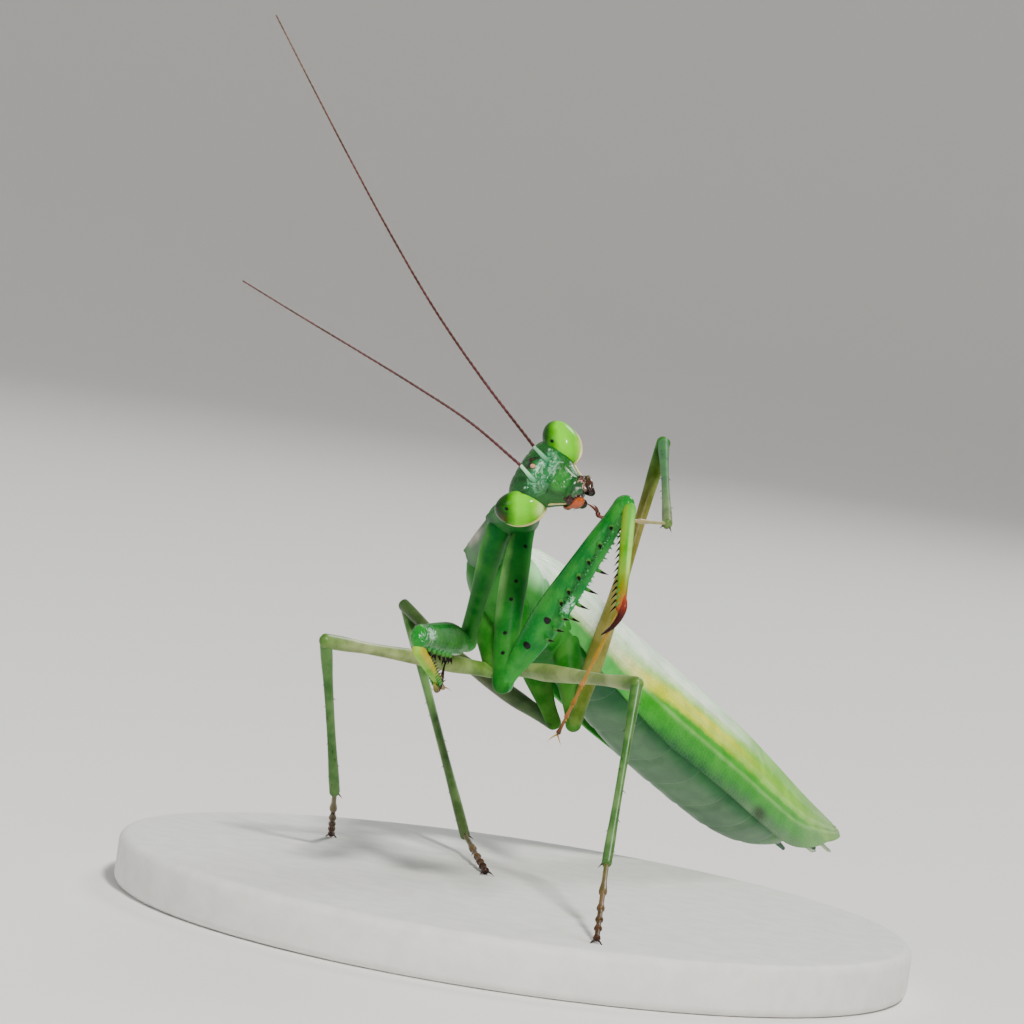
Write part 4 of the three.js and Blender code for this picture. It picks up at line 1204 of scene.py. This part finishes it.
def tegmenPoint(name, side, u, v):
    waist = fade(u, 0.26, 0.42)
    inner = wing['innerAngle'][0] - wing['innerAngle'][1] * fade(u, 0, 0.2) * tipRound(u)
    drop = wing['shoulderDrop'] * fade(u, 0, 0.25) + wing['hang'][name] * waist
    drop += wing['rootReach'] * fade(u, 0, 0.06) * (1 - waist)
    outer = wing['outerAngle'][0] + (wing['outerAngle'][1] + drop) * tipRound(u)
    angle = lerp(inner, outer, v)
    tuck = wing['lap'] * (1 - fade(angle, 36, 52)) if name == 'right' else 0
    tuck += wing['rootTuck'] * (1 - fade(u, 0, 0.06))
    tuck += wing['flankTuck'] * fade(angle, 50, 95) * (1 - fade(u, 0.28, 0.42)) * fade(u, 0, 0.05)
    rise = veinHeight(u, v)
    place = wing['root'] + u * wing['tegmenLength']
    spot = archPoint(side, u, place, angle, tuck - wing['veinLift'] * rise)
    return trunkFrame @ spot, (angle / 100, u, rise)


def hindPoint(side, u, v):
    angle = lerp(2, 12 + 48 * tipRound(u), v)
    pleat = wing['pleat'][0] * math.sin(v * wing['pleat'][1])
    place = wing['hindRoot'] + u * wing['hindLength']
    spot = archPoint(side, u, place, angle, wing['hindInset'] + pleat, wing['hindGap'])
    return trunkFrame @ spot, (spot.x, u, 0)


tegmen = {
    'cellStretch': (26.0, 130.0, 0.0),
    'cellRandom': 0.8,
    'cellEdge': 0.12,
    'wobbleScale': 0.35,
    'wobbleShare': 0.06,
    'bandShift': 0.3,
    'bandShare': 0.66,
    'bands': [  # (angle / 100 + bandShift) * bandShare, colour
        (0.0, (0.006, 0.16, 0.01)), (0.2, (0.02, 0.26, 0.025)), (0.32, (0.22, 0.60, 0.22)),
        # the white-mint stops are partly the wing's pale band and partly painted sheen
        (0.42, (0.78, 0.96, 0.80)), (0.61, (0.80, 0.95, 0.74)), (0.675, (0.40, 0.74, 0.10)),
        (0.71, (0.74, 0.74, 0.0)), (0.765, (0.60, 0.70, 0.0)), (0.80, (0.03, 0.34, 0.002)),
        (0.91, (0.012, 0.26, 0.004)), (0.97, (0.003, 0.09, 0.015)), (1.0, (0.003, 0.09, 0.03)),
    ],
    'washes': [  # tint, strength, then where it starts and is full, round the body or along the wing
        ((0.17, 0.56, 0.01), 0.88, (('along', 0.48, 0.72), ('round', 0.94, 0.88), ('round', 0.2, 0.5))),
        ((0.14, 0.26, 0.13), 0.6, (('along', 0.5, 0.68), ('round', 1.04, 1.2))),
        ((0.21, 0.34, 0.15), 0.75, (('along', 0.76, 0.97),)),
        # painted highlight: white-mint glare over the wing's root
        ((0.82, 1.0, 0.84), 0.88, (('along', 0.38, 0.14), ('round', 0.12, 0.4), ('round', 0.95, 0.8))),
        ((0.06, 0.42, 0.06), 1.0, (('along', 0.34, 0.22), ('round', 0.8, 0.95))),
    ],
    # painted sheen: the pale band is made to glow a little, standing in for light on the wing
    'sheen': (('round', 0.14, 0.34), ('round', 0.78, 0.6), ('along', 0.68, 0.5)),
    'sheenTint': (0.80, 1.0, 0.82),
    'sheenStrength': 0.16,
    'netTint': (0.05, 0.32, 0.03),
    'netShare': 0.2,
    'veinTint': (0.34, 0.62, 0.18),
    'veinShare': 0.35,
    'spots': [((0.006, 0.045, 0.003), (1.11, 0.7, 0.0), (0.1, 0.036, 2.0), 0.9)],
    'look': {'mottle': 0.35, 'gloss': 0.3, 'coat': 0.15, 'coatRough': 0.25, 'glow': 0.1, 'relief': 0.2},
    'bump': (0.45, 0.05),
}
hindwing = {
    'cellStretch': (16.0, 90.0, 1.0),
    'cellRandom': 0.6,
    'cellEdge': 0.1,
    'cellTint': (0.45, 0.72, 0.38),
    'netTint': (0.25, 0.45, 0.12),
    'look': {'mottle': 0.3, 'gloss': 0.2, 'coat': 0.5, 'glow': 0.3},
}


def cellNet(tree, stretched, randomness, edge):  # 1 on the walls of a fine net of cells
    cells = addNode(tree, 'ShaderNodeTexVoronoi', {'Vector': stretched, 'Scale': 1.0, 'Randomness': randomness},
                    feature='DISTANCE_TO_EDGE', voronoi_dimensions='2D').outputs['Distance']
    return smoothMask(tree, cells, edge, 0.02)


def tegmenMaterial():
    # A white-mint band over green that is partly painted sheen, a painted highlight at the root and a faint
    # painted glow on the pale band; a yellow vein with a green field below it, and a net of small cells.
    # The piece's local place holds the angle round the body over 100, the share of the length, and the veins.
    material, tree = newMaterial('tegmenMint')
    shader = tree.nodes['Principled BSDF']
    place = localPlace(tree)
    parts = addNode(tree, 'ShaderNodeSeparateXYZ', {0: place}).outputs
    stretched = vectorMath(tree, 'MULTIPLY', place, tegmen['cellStretch'])
    net = cellNet(tree, stretched, tegmen['cellRandom'], tegmen['cellEdge'])
    wobble = noiseAt(tree, stretched, tegmen['wobbleScale'], 2.0)
    ways = {'round': plus(tree, parts['X'], times(tree, wobble, tegmen['wobbleShare'])), 'along': parts['Y']}

    def maskOf(limits):
        mask = None
        for way, low, high in limits:
            part = smoothMask(tree, ways[way], low, high)
            mask = part if mask is None else times(tree, mask, part)
        return mask
    level = times(tree, plus(tree, ways['round'], tegmen['bandShift']), tegmen['bandShare'])
    colour = colourRamp(tree, level, tegmen['bands'])
    for tint, strength, limits in tegmen['washes']:
        colour = paintOver(tree, colour, times(tree, maskOf(limits), strength), tint)
    colour = paintOver(tree, colour, times(tree, net, tegmen['netShare']), tegmen['netTint'])
    colour = paintOver(tree, colour, times(tree, parts['Z'], tegmen['veinShare']), tegmen['veinTint'])
    colour = paintSpots(tree, place, colour, tegmen['spots'])
    finishMaterial(material, colour, tegmen['look'])
    # painted light: the sheen band glows through the shader's emission
    glow = mixColour(tree, maskOf(tegmen['sheen']), (0, 0, 0, 1), (*tegmen['sheenTint'], 1))
    tree.links.new(glow, shader.inputs['Emission Color'])
    shader.inputs['Emission Strength'].default_value = tegmen['sheenStrength']
    linkBump(tree, calculate(tree, 'MAXIMUM', net, parts['Z']), *tegmen['bump'])
    return material


def hindwingMaterial():
    material, tree = newMaterial('hindwingClear')
    sheet = addNode(tree, 'ShaderNodeUVMap', uv_map='sheet').outputs['UV']
    stretched = vectorMath(tree, 'MULTIPLY', sheet, hindwing['cellStretch'])
    net = cellNet(tree, stretched, hindwing['cellRandom'], hindwing['cellEdge'])
    colour = mixColour(tree, net, (*hindwing['cellTint'], 1), (*hindwing['netTint'], 1))
    finishMaterial(material, colour, hindwing['look'])
    return material


tegmenMint = tegmenMaterial()
hindwingClear = hindwingMaterial()


def makeWings(name, side):
    shape = newShape()
    addSkin(shape, lambda u, v: tegmenPoint(name, side, u, v), *wing['tegmenGrid'])
    makePiece(f'forewing_{name}', shape, [tegmenMint], [f'tegmen_{name}'],
              thickness=wing['tegmenThickness'])
    shape = newShape()
    addSkin(shape, lambda u, v: hindPoint(side, u, v), *wing['hindGrid'])
    makePiece(f'rearwing_{name}', shape, [hindwingClear], [f'hindwing_{name}'],
              thickness=wing['hindThickness'])


for name, side in leftAndRight.items():
    makeWings(name, side)
print('wings made')


foreLegs = {
    'left': {  # each segment has a length, a heading and a rise
        'root': (1, -11, -0.8), 'coxa': (9.5, 34.8, -64.9), 'femur': (13.1, 96.4, 61),
        'tibia': (6.8, 46.8, -56.1), 'tarsus': (8.3, -84.7, -69.5),
        'coxaGirth': [0.75, 0.86, 0.9, 0.88, 0.83, 0.77, 0.66],
        'coxaShift': 0.4,
        'femurGirth': [0.62, 0.9, 1.12, 1.14, 1.06, 0.96, 0.86, 0.72],
        'spineReach': 1.0,
    },
    'right': {
        'root': (-1, -11, -0.8), 'coxa': (9.4, -132.9, -49), 'femur': (12.9, 27.2, 3.8),
        'tibia': (6.2, -154.9, -26), 'tarsus': (6.2, -144, -9),
        'coxaGirth': [0.75, 0.76, 0.7, 0.62, 0.57, 0.55, 0.56],
        'coxaShift': 0.0,
        'femurGirth': [0.58, 0.8, 0.96, 0.99, 0.95, 0.88, 0.8, 0.7],
        'spineReach': 0.75,
    },
}
foreLeg = {
    'coxaFlat': 0.88,
    'femurFlat': 0.74,
    'tibiaFlat': 0.72,
    'tibiaGirth': [0.46, 0.46, 0.43, 0.4, 0.36],
    'kneeHalf': (0.5, 0.62, 0.62),
    'hipHalf': (0.62, 0.62, 0.62),
    'femurSpines': [  # place over the face from -1 to 1, lean, thickness, then place along and length
        (0.55, (0.3, -0.1), 0.17, [(0.49, 0.95), (0.55, 0.9), (0.63, 1.0), (0.71, 0.9), (0.8, 0.9), (0.89, 0.65)]),
        (-0.72, (-0.5, 0.25), 0.13, [(0.43, 1.0), (0.5, 1.05), (0.58, 1.0), (0.68, 0.9)]),
        (-0.1, (-0.1, 0.4), 0.12, [(0.3, 0.8), (0.36, 1.1), (0.42, 0.9)]),
    ],
    'teeth': 30,
    'teethRows': (0.2, -0.68),
    'teethStart': 0.44,
    'teethSpan': 0.5,
    'teethMissing': 0.3,
    'tibiaSpines': [(1, 13, 0.16, 0.55), (-1, 10, 0.3, 0.7)],  # which edge, count, start, length
    'tibiaSpineRadius': 0.1,
    'spineBend': (0, 0.1, 0),
    'claw': [(-0.7, -0.05), (0.3, -0.12), (0.95, -0.9), (1.1, -2.1)],  # past the tibia's end, and up
    'clawGirth': [0.08, 0.22, 0.2, 0.13, 0.03],
    'footRadius': 0.13,
}
coxaLook = {
    'along': [(0.0, (0.002, 0.136, 0.015)), (0.45, (0.002, 0.126, 0.005)), (1.0, (0.002, 0.151, 0.002))],
    'span': (0, 11), 'mottle': 0.7, 'gloss': 0.42, 'coat': 0.0, 'relief': 0.5, 'shine': 0.1,
    # painted highlight: a pale strip along one edge of the coxa, fading out along it
    'aside': ((0.12, 0.36, 0.07), 0.4, 0.8), 'asideEnd': (8.5, 3.5),
}
coxaSpots = [(2.0, -0.18), (4.3, 0.02), (5.45, 0.14), (7.5, 0.25), (8.7, 0.25)]  # place, aside
femurLook = {
    'along': [(0.0, (0.014, 0.26, 0.02)), (0.25, (0.003, 0.20, 0.01)), (0.75, (0.002, 0.18, 0.012)),
              (1.0, (0.012, 0.26, 0.015))],
    'span': (0, 14), 'mottle': 0.7, 'gloss': 0.16, 'coat': 0.06, 'coatRough': 0.1, 'relief': 0.6,
}
tibiaLook = {
    'along': [(0.0, (0.05, 0.36, 0.008)), (0.5, (0.06, 0.34, 0.003)), (0.8, (0.22, 0.20, 0.003)),
              (1.0, (0.34, 0.05, 0.002))],
    'span': (0, 6.9), 'mottle': 0.5, 'gloss': 0.4, 'coat': 0.0, 'shine': 0.1,
    'aside': ((0.15, 0.34, 0.0), 0.22, 0.31),
}
clawLook = {
    'along': [(0.0, (0.32, 0.07, 0.003)), (0.22, (0.2, 0.024, 0.003)), (0.42, (0.05, 0.006, 0.004)),
              (1.0, (0.008, 0.002, 0.003))],
    'span': (0, 3.2), 'gloss': 0.2, 'glow': 0.0, 'mottle': 0.4, 'shine': 0.1,
}
foreLooks = {
    'left': {
        'coxa': cuticleMaterial('coxaGreen', {
            **coxaLook,
            'spots': [(black, (aside, place, 0.8), (0.15, 0.15, 0.5), 0.4) for place, aside in coxaSpots]}),
        'femur': cuticleMaterial('femurGreen', {
            **femurLook, 'under': ((0.003, 0.2, 0.016), -0.9, -0.3), 'aside': ((0.004, 0.25, 0.06), -0.2, -0.6),
            'spots': [(black, (0.48, 5.6, -0.9), (0.21, 0.24, 0.6), 0.25),
                      (black, (0.54, 3.6, -0.75), (0.19, 0.24, 0.6), 0.25)],
            # painted highlight: pale glints on the femur
            'paintedGlints': ((0.34, 0.68, 0.46), (-0.1, 6.9, -1.0), (0.6, 1.3, 0.8))}),
        'tibia': cuticleMaterial('tibiaLime', {
            **tibiaLook, 'under': ((0.30, 0.22, 0.002), -0.36, -0.12),
            # painted highlight: a pale lime streak along the top of the tibia
            'spots': [((0.34, 0.60, 0.10), (0.0, 3.2, 0.42), (0.26, 3.4, 0.14), 0.8)]}),
        'claw': cuticleMaterial('clawMaroon', clawLook),
    },
    'right': {
        # painted highlight: a paler green strip along one edge of the coxa
        'coxa': cuticleMaterial('coxaGreenPlain', {**coxaLook, 'aside': ((0.05, 0.28, 0.02), 0.4, 0.8)}),
        'femur': cuticleMaterial('femurGreenPlain', {
            **femurLook, 'under': ((0.02, 0.28, 0.05), -0.9, -0.4),
            # painted highlight: pale glints near the knee
            'paintedGlints': ((0.55, 0.88, 0.68), (-0.4, 12.2, 0.2), (0.9, 2.2, 1.0))}),
        'tibia': cuticleMaterial('tibiaLimePale', {
            **tibiaLook, 'aside': ((0.50, 0.44, 0.004), 0.15, 0.3), 'bothSides': True,
            'along': [(0.0, (0.26, 0.50, 0.02)), (0.6, (0.14, 0.42, 0.02)), (1.0, (0.30, 0.36, 0.03))]}),
        'claw': cuticleMaterial('clawBrown', {
            **clawLook,
            'along': [(0.0, (0.22, 0.24, 0.02)), (0.3, (0.05, 0.014, 0.006)), (1.0, (0.008, 0.002, 0.003))]}),
    },
}
spineDark = cuticleMaterial('spineDark', {
    'along': [(0.0, (0.03, 0.24, 0.05)), (0.35, (0.06, 0.2, 0.03)), (0.45, (0.01, 0.004, 0.003)), (1.0, black)],
    'gloss': 0.2, 'coat': 0.05, 'glow': 0.0, 'mottle': 0.2, 'shine': 0.08,
})
toothPale = plainMaterial('toothPale', (0.07, 0.36, 0.12), 0.2)
footAmber = cuticleMaterial('footAmber', {
    'along': [(0.0, (0.42, 0.22, 0.004)), (0.3, (0.38, 0.20, 0.002)), (0.8, (0.28, 0.10, 0.003)),
              (1.0, (0.05, 0.015, 0.006))],
    'span': (0, 8.3), 'gloss': 0.25, 'coat': 0.2, 'glow': 0.1, 'mottle': 0.9,
})
foot = {
    'shares': [0, 0.42, 0.62, 0.76, 0.87, 1.0],  # where its five joints begin and end
    'flare': 0.42,
    'pinch': 0.3,
    'neck': 0.2,
    'claw': (0.75, 0.42),  # length, and radius as a share of the foot's
    'raisedClaw': (1.1, 0.7),
    'spur': (1.5, 0.3),  # length and radius as shares of the foot's radius
}


def jointsOf(leg, rootFrame, parts):
    joints = [rootFrame @ Vector(leg['root'])]
    for part in parts:
        length, heading, rise = leg[part]
        joints.append(joints[-1] + direction(heading, rise) * length)
    return joints


def squareTo(way, along):  # the part of a direction that is square to another
    return (way - along * way.dot(along)).normalized()


def addFoot(shape, points, upper, radius, clawNumber=0, claw=foot['claw']):
    # Five joints, the first the longest, each flared at its end, then two claws.
    path, length = pathThrough(points)
    shares = foot['shares']

    def girth(share):
        joint = min(bisect.bisect_left(shares, share, 1), len(shares) - 1)
        inside = (share - shares[joint - 1]) / (shares[joint] - shares[joint - 1])
        return radius * (0.72 + foot['flare'] * fade(inside, 0.55, 0.92) - foot['pinch'] * fade(inside, 0.95, 1.0)
                         - foot['neck'] * (1 - fade(inside, 0, 0.08)))
    addTube(shape, path, length, girth, upper, rows=110, sides=12, ease=0)
    toe = path(1)
    way = (toe - path(0.9)).normalized()
    side = way.cross(upper).normalized()
    top = side.cross(way)
    for turn in (-1, 1):
        addSpike(shape, toe, way * 0.6 + side * turn * 0.6 + top * 0.25, claw[0], radius * claw[1],
                 top * -0.4 + way * 0.1, look=clawNumber, rows=7)
    for end in shares[1:5]:
        for turn in (-1, 1):
            addSpike(shape, path(end) - top * radius * 0.6, way * 0.7 - top * 0.8 + side * turn * 0.4,
                     radius * foot['spur'][0], radius * foot['spur'][1], look=clawNumber, sides=5, rows=3)


def coxaRelief(angle, along, radius):
    return 0.05 * hump(math.cos(angle), 1, 0.1) * fade(along, 0.5, 2)


def femurRelief(angle, along, radius):  # a channel between two edges below, and a keel above
    low = -math.sin(angle)
    channel = -0.16 * radius * hump(math.cos(angle), 0, 0.42) * fade(low, 0.6, 0.95)
    edges = 0.06 * hump(abs(math.cos(angle)), 0.55, 0.14) * fade(low, 0.3, 0.7)
    return channel + edges + 0.05 * hump(math.cos(angle), 0, 0.12) * fade(-low, 0.8, 1)


def addFemurSpines(shape, leg, side, place, length):
    turn = place.to_3x3()
    girthAt = evenKeys(leg['femurGirth'])

    def spotAt(share, across, depth):
        reach = girthAt(share)
        return place @ Vector((side * across * reach * foreLeg['femurFlat'], share * length,
                               -reach * math.sqrt(1 - across * across) * depth))
    for across, (lean, forward), thick, spines in foreLeg['femurSpines']:
        for share, tall in spines:
            addSpike(shape, spotAt(share, across, 0.94), turn @ Vector((side * lean, forward, -1)),
                     tall * leg['spineReach'], thick, turn @ Vector(foreLeg['spineBend']), look=1)
    for i in range(foreLeg['teeth']):  # fine pale teeth along both edges of the groove
        for middle in foreLeg['teethRows']:
            share = foreLeg['teethStart'] + foreLeg['teethSpan'] * i / foreLeg['teeth'] + chance.uniform(0, 0.012)
            if chance.random() < foreLeg['teethMissing']:
                continue
            across = middle + chance.uniform(-0.04, 0.04)
            way = Vector((side * across + chance.uniform(-0.2, 0.2), chance.uniform(0, 0.5), -1))
            addSpike(shape, spotAt(share, across, 0.93), turn @ way, chance.uniform(0.12, 0.26),
                     chance.uniform(0.05, 0.08), look=2, sides=6, rows=4)


def addTibiaSpines(shape, side, place, length):
    turn = place.to_3x3()
    for edge, count, first, tall in foreLeg['tibiaSpines']:
        for i in range(count):
            share = lerp(first, 0.97, i / (count - 1))
            spot = place @ Vector((side * edge * 0.17, share * length, -0.22))
            way = turn @ Vector((side * edge * 0.45, 0.8, -1))
            addSpike(shape, spot, way, tall * (0.95 + 0.6 * i / count), foreLeg['tibiaSpineRadius'],
                     turn @ Vector(foreLeg['spineBend']), look=1)


def makeForeLeg(name, side):
    leg, looks = foreLegs[name], foreLooks[name]
    root, hip, knee, ankle, toe = jointsOf(leg, prothoraxFrame, ('coxa', 'femur', 'tibia', 'tarsus'))
    ahead = prothoraxFrame.to_3x3() @ Vector((0, -1, 0))
    femurWay = (knee - hip).normalized()
    tibiaWay = (ankle - knee).normalized()
    under = squareTo(tibiaWay, femurWay)
    elbow = knee + under * 0.65 + tibiaWay * 0.15

    shape = newShape()
    shift = (hip - root).cross(ahead).normalized() * leg['coxaShift']
    addRod(shape, root + shift, hip, leg['coxaGirth'], ahead, rows=110, sides=48, flat=foreLeg['coxaFlat'],
           bow=shift * 0.5, relief=coxaRelief)
    makePiece(f'armCoxa_{name}', shape, [looks['coxa']], [f'fore_coxa_{name}'])

    shape = newShape()
    addRod(shape, hip, knee - femurWay * 0.35, leg['femurGirth'], -under, rows=150, sides=56,
           flat=foreLeg['femurFlat'], relief=femurRelief)
    place = limbFrame(hip, femurWay, -under)
    addBall(shape, place, place.inverted() @ (knee + under * 0.12 - femurWay * 0.15), foreLeg['kneeHalf'])
    addFemurSpines(shape, leg, side, place, (knee - hip).length)
    addBall(shape, place, (0, 0, 0), foreLeg['hipHalf'])
    makePiece(f'armFemur_{name}', shape, [looks['femur'], spineDark, toothPale],
              [f'fore_femur_{name}'])

    shape = newShape()
    overTibia = squareTo(femurWay, tibiaWay)
    addRod(shape, elbow, ankle, foreLeg['tibiaGirth'], overTibia, rows=70, sides=32, flat=foreLeg['tibiaFlat'])
    place = limbFrame(elbow, tibiaWay, overTibia)
    length = (ankle - elbow).length
    addTibiaSpines(shape, side, place, length)
    path, reach = pathThrough([place @ Vector((0, length + past, z)) for past, z in foreLeg['claw']])
    addTube(shape, path, reach, evenKeys(foreLeg['clawGirth']), overTibia, rows=34, sides=16, look=2, flat=0.8)
    makePiece(f'armTibia_{name}', shape, [looks['tibia'], spineDark, looks['claw']],
              [f'fore_tibia_{name}'])

    shape = newShape()
    heel = ankle + tibiaWay * 0.1
    points = [heel, heel.lerp(toe, 0.35) + Vector((0, 0, 0.12)), heel.lerp(toe, 0.7), toe]
    addFoot(shape, points, -under, foreLeg['footRadius'])
    makePiece(f'armFoot_{name}', shape, [footAmber], [f'fore_tarsus_{name}'])


for name, side in leftAndRight.items():
    makeForeLeg(name, side)
print('fore legs made')


walkingLegs = {
    'mid_left': {
        'root': (1.3, 2.65, -2.24), 'coxa': (3.8, 85.7, -75.1), 'femur': (13.1, 71, 4.7),
        'tibia': (11.3, 35.4, -61.4), 'foot': (7.5, 38.1),
    },
    'mid_right': {
        'root': (-1.3, 2.65, -2.24), 'coxa': (3.9, 149.9, -71.2), 'femur': (13.2, -9.8, 4.4),
        'tibia': (11.2, -156.8, -57.6), 'foot': (7.5, -140.6),
    },
    'hind_left': {
        'root': (1.6, 8.05, -2.13), 'coxa': (5.4, 63.9, -59.8), 'femur': (18.9, -167.3, 68.7),
        'tibia': (20.1, 40.2, -11.6), 'instep': (5.3, -5.2, -0.2), 'toes': (0.6, -20.7, 26.5), 'bow': 0.8,
    },
    'hind_right': {
        'root': (-1.4, 8.05, -2.13), 'coxa': (5.2, 143.8, -61.4), 'femur': (18.1, -104.1, 15.4),
        'tibia': (19.1, 64.3, -41.7), 'foot': (8.5, 50), 'bow': 0.8,
    },
}
walkingGirth = {
    'mid': {'coxa': [0.8, 0.68, 0.54, 0.45], 'femur': [0.42, 0.5, 0.46, 0.4, 0.34, 0.32, 0.4]},
    'hind': {'coxa': [0.85, 0.85, 0.68, 0.5], 'femur': [0.45, 0.55, 0.5, 0.42, 0.36, 0.32, 0.34, 0.4]},
    'tibia': [0.34, 0.28, 0.25, 0.24, 0.24, 0.26, 0.3],
    'foot': 0.21,
    'raisedFoot': 0.14,
    'hairs': 16,
    'hair': (0.3, 0.03),  # length, radius
    'spur': (0.55, 0.065),
}
walkingColours = {  # length of the segment, and its colours along it
    'thighOlive': (14, [(0.0, (0.09, 0.22, 0.02)), (0.35, (0.22, 0.30, 0.08)), (0.8, (0.24, 0.30, 0.11)),
                        (1.0, (0.09, 0.20, 0.03))]),
    'thighOchre': (19, [(0.0, (0.05, 0.14, 0.006)), (0.35, (0.22, 0.19, 0.03)), (0.75, (0.16, 0.16, 0.02)),
                        (1.0, (0.012, 0.12, 0.004))]),
    'thighDark': (19, [(0.0, (0.021, 0.084, 0.009)), (0.4, (0.047, 0.072, 0.016)), (1.0, (0.033, 0.083, 0.014))]),
    'shinGreen': (20, [(0.0, (0.05, 0.156, 0.025)), (0.5, (0.071, 0.171, 0.04)), (1.0, (0.063, 0.113, 0.026))]),
    'shinLeaf': (20, [(0.0, (0.01, 0.17, 0.02)), (0.5, (0.02, 0.16, 0.03)), (1.0, (0.12, 0.20, 0.05))]),
    'footRaised': (6, [(0.0, (0.26, 0.28, 0.10)), (0.45, (0.42, 0.32, 0.16)), (0.75, (0.42, 0.18, 0.10)),
                       (0.92, (0.20, 0.05, 0.03)), (1.0, (0.10, 0.02, 0.015))]),
    'footBrown': (8, [(0.0, (0.133, 0.121, 0.033)), (0.5, (0.108, 0.064, 0.02)), (1.0, (0.04, 0.011, 0.005))]),
}
walkingLooks = {
    name: cuticleMaterial(name, {'along': stops, 'span': (0, length), 'gloss': 0.3,
                                 'mottle': 0.8 if name == 'footRaised' else 0.9})
    for name, (length, stops) in walkingColours.items()
}
hipGreen = cuticleMaterial('hipGreen', {
    'along': [(0.0, (0.002, 0.138, 0.002)), (1.0, (0.032, 0.157, 0.007))], 'span': (0, 6), 'mottle': 0.7,
    'gloss': 0.45, 'coat': 0.0, 'shine': 0.1,
})
clawRust = plainMaterial('clawRust', (0.14, 0.03, 0.016), 0.3)


def standingToe(ankle, length, heading):  # where a foot of this length meets the stand
    drop = ankle.z - pose['footLevel'] - walkingGirth['foot']
    level = math.sqrt(length * length - drop * drop)
    return ankle + direction(heading, 0) * level - Vector((0, 0, drop))


def keelRelief(angle, along, radius):
    return 0.04 * (hump(math.sin(angle), 1, 0.12) + hump(math.sin(angle), -1, 0.12))


def addHairs(shape, place, length):  # sparse hairs and the two spurs at the end
    turn = place.to_3x3()
    for i in range(walkingGirth['hairs']):
        angle = chance.uniform(0, 2 * math.pi)
        across, height = math.cos(angle), math.sin(angle)
        spot = place @ Vector((0.22 * across, length * (0.1 + 0.055 * i), 0.22 * height))
        addSpike(shape, spot, turn @ Vector((across, 0.9, height)), *walkingGirth['hair'], look=1, sides=5, rows=3)
    for way in (-1, 1):
        spot = place @ Vector((way * 0.15, length, 0.1))
        addSpike(shape, spot, turn @ Vector((way * 0.5, 1, 0.5)), *walkingGirth['spur'], look=1)


def makeWalkingLeg(name):
    leg = walkingLegs[name]
    pair, sideName = name.split('_')
    raised = 'instep' in leg
    root, hip, knee, ankle = jointsOf(leg, trunkFrame, ('coxa', 'femur', 'tibia'))
    girth = walkingGirth[pair]
    femurWay = (knee - hip).normalized()

    shape = newShape()
    outward = trunkFrame.to_3x3() @ Vector((1, 0, 0))
    addRod(shape, root, hip, girth['coxa'], outward, rows=40, sides=28)
    makePiece(f'hip_{name}', shape, [hipGreen], [f'{name}_coxa'])

    shape = newShape()
    bowWay = Vector((leftAndRight[sideName], -1, 0)).cross(femurWay)
    bow = femurWay.cross(bowWay).normalized() * leg['bow'] if 'bow' in leg else None
    addRod(shape, hip, knee, girth['femur'], bowWay, rows=90, sides=24, bow=bow, relief=keelRelief)
    thigh = {'hind_left': 'thighOchre', 'hind_right': 'thighDark'}.get(name, 'thighOlive')
    makePiece(f'thigh_{name}', shape, [walkingLooks[thigh]], [f'{name}_femur'])

    shape = newShape()
    addRod(shape, knee, ankle, walkingGirth['tibia'], -femurWay, rows=90, sides=20, relief=keelRelief)
    addHairs(shape, limbFrame(knee, (ankle - knee).normalized(), -femurWay), (ankle - knee).length)
    shin = walkingLooks['shinLeaf' if raised else 'shinGreen']
    makePiece(f'shin_{name}', shape, [shin, bristleDark], [f'{name}_tibia'])

    shape = newShape()
    if raised:
        heel = ankle + direction(*leg['instep'][1:]) * leg['instep'][0]
        toe = heel + direction(*leg['toes'][1:]) * leg['toes'][0]
        addFoot(shape, [ankle, heel, toe], worldUp, walkingGirth['raisedFoot'], 1, foot['raisedClaw'])
        looks = [walkingLooks['footRaised'], clawRust]
    else:
        toe = standingToe(ankle, *leg['foot'])
        heel = Vector((toe.x, toe.y, pose['footLevel'] + walkingGirth['foot'])).lerp(ankle, 0.3)
        addFoot(shape, [ankle, heel, toe], worldUp, walkingGirth['foot'], 1)
        looks = [walkingLooks['footBrown'], bristleDark]
    makePiece(f'foot_{name}', shape, looks, [f'{name}_tarsus'])


for legName in walkingLegs:
    makeWalkingLeg(legName)
print('walking legs made')
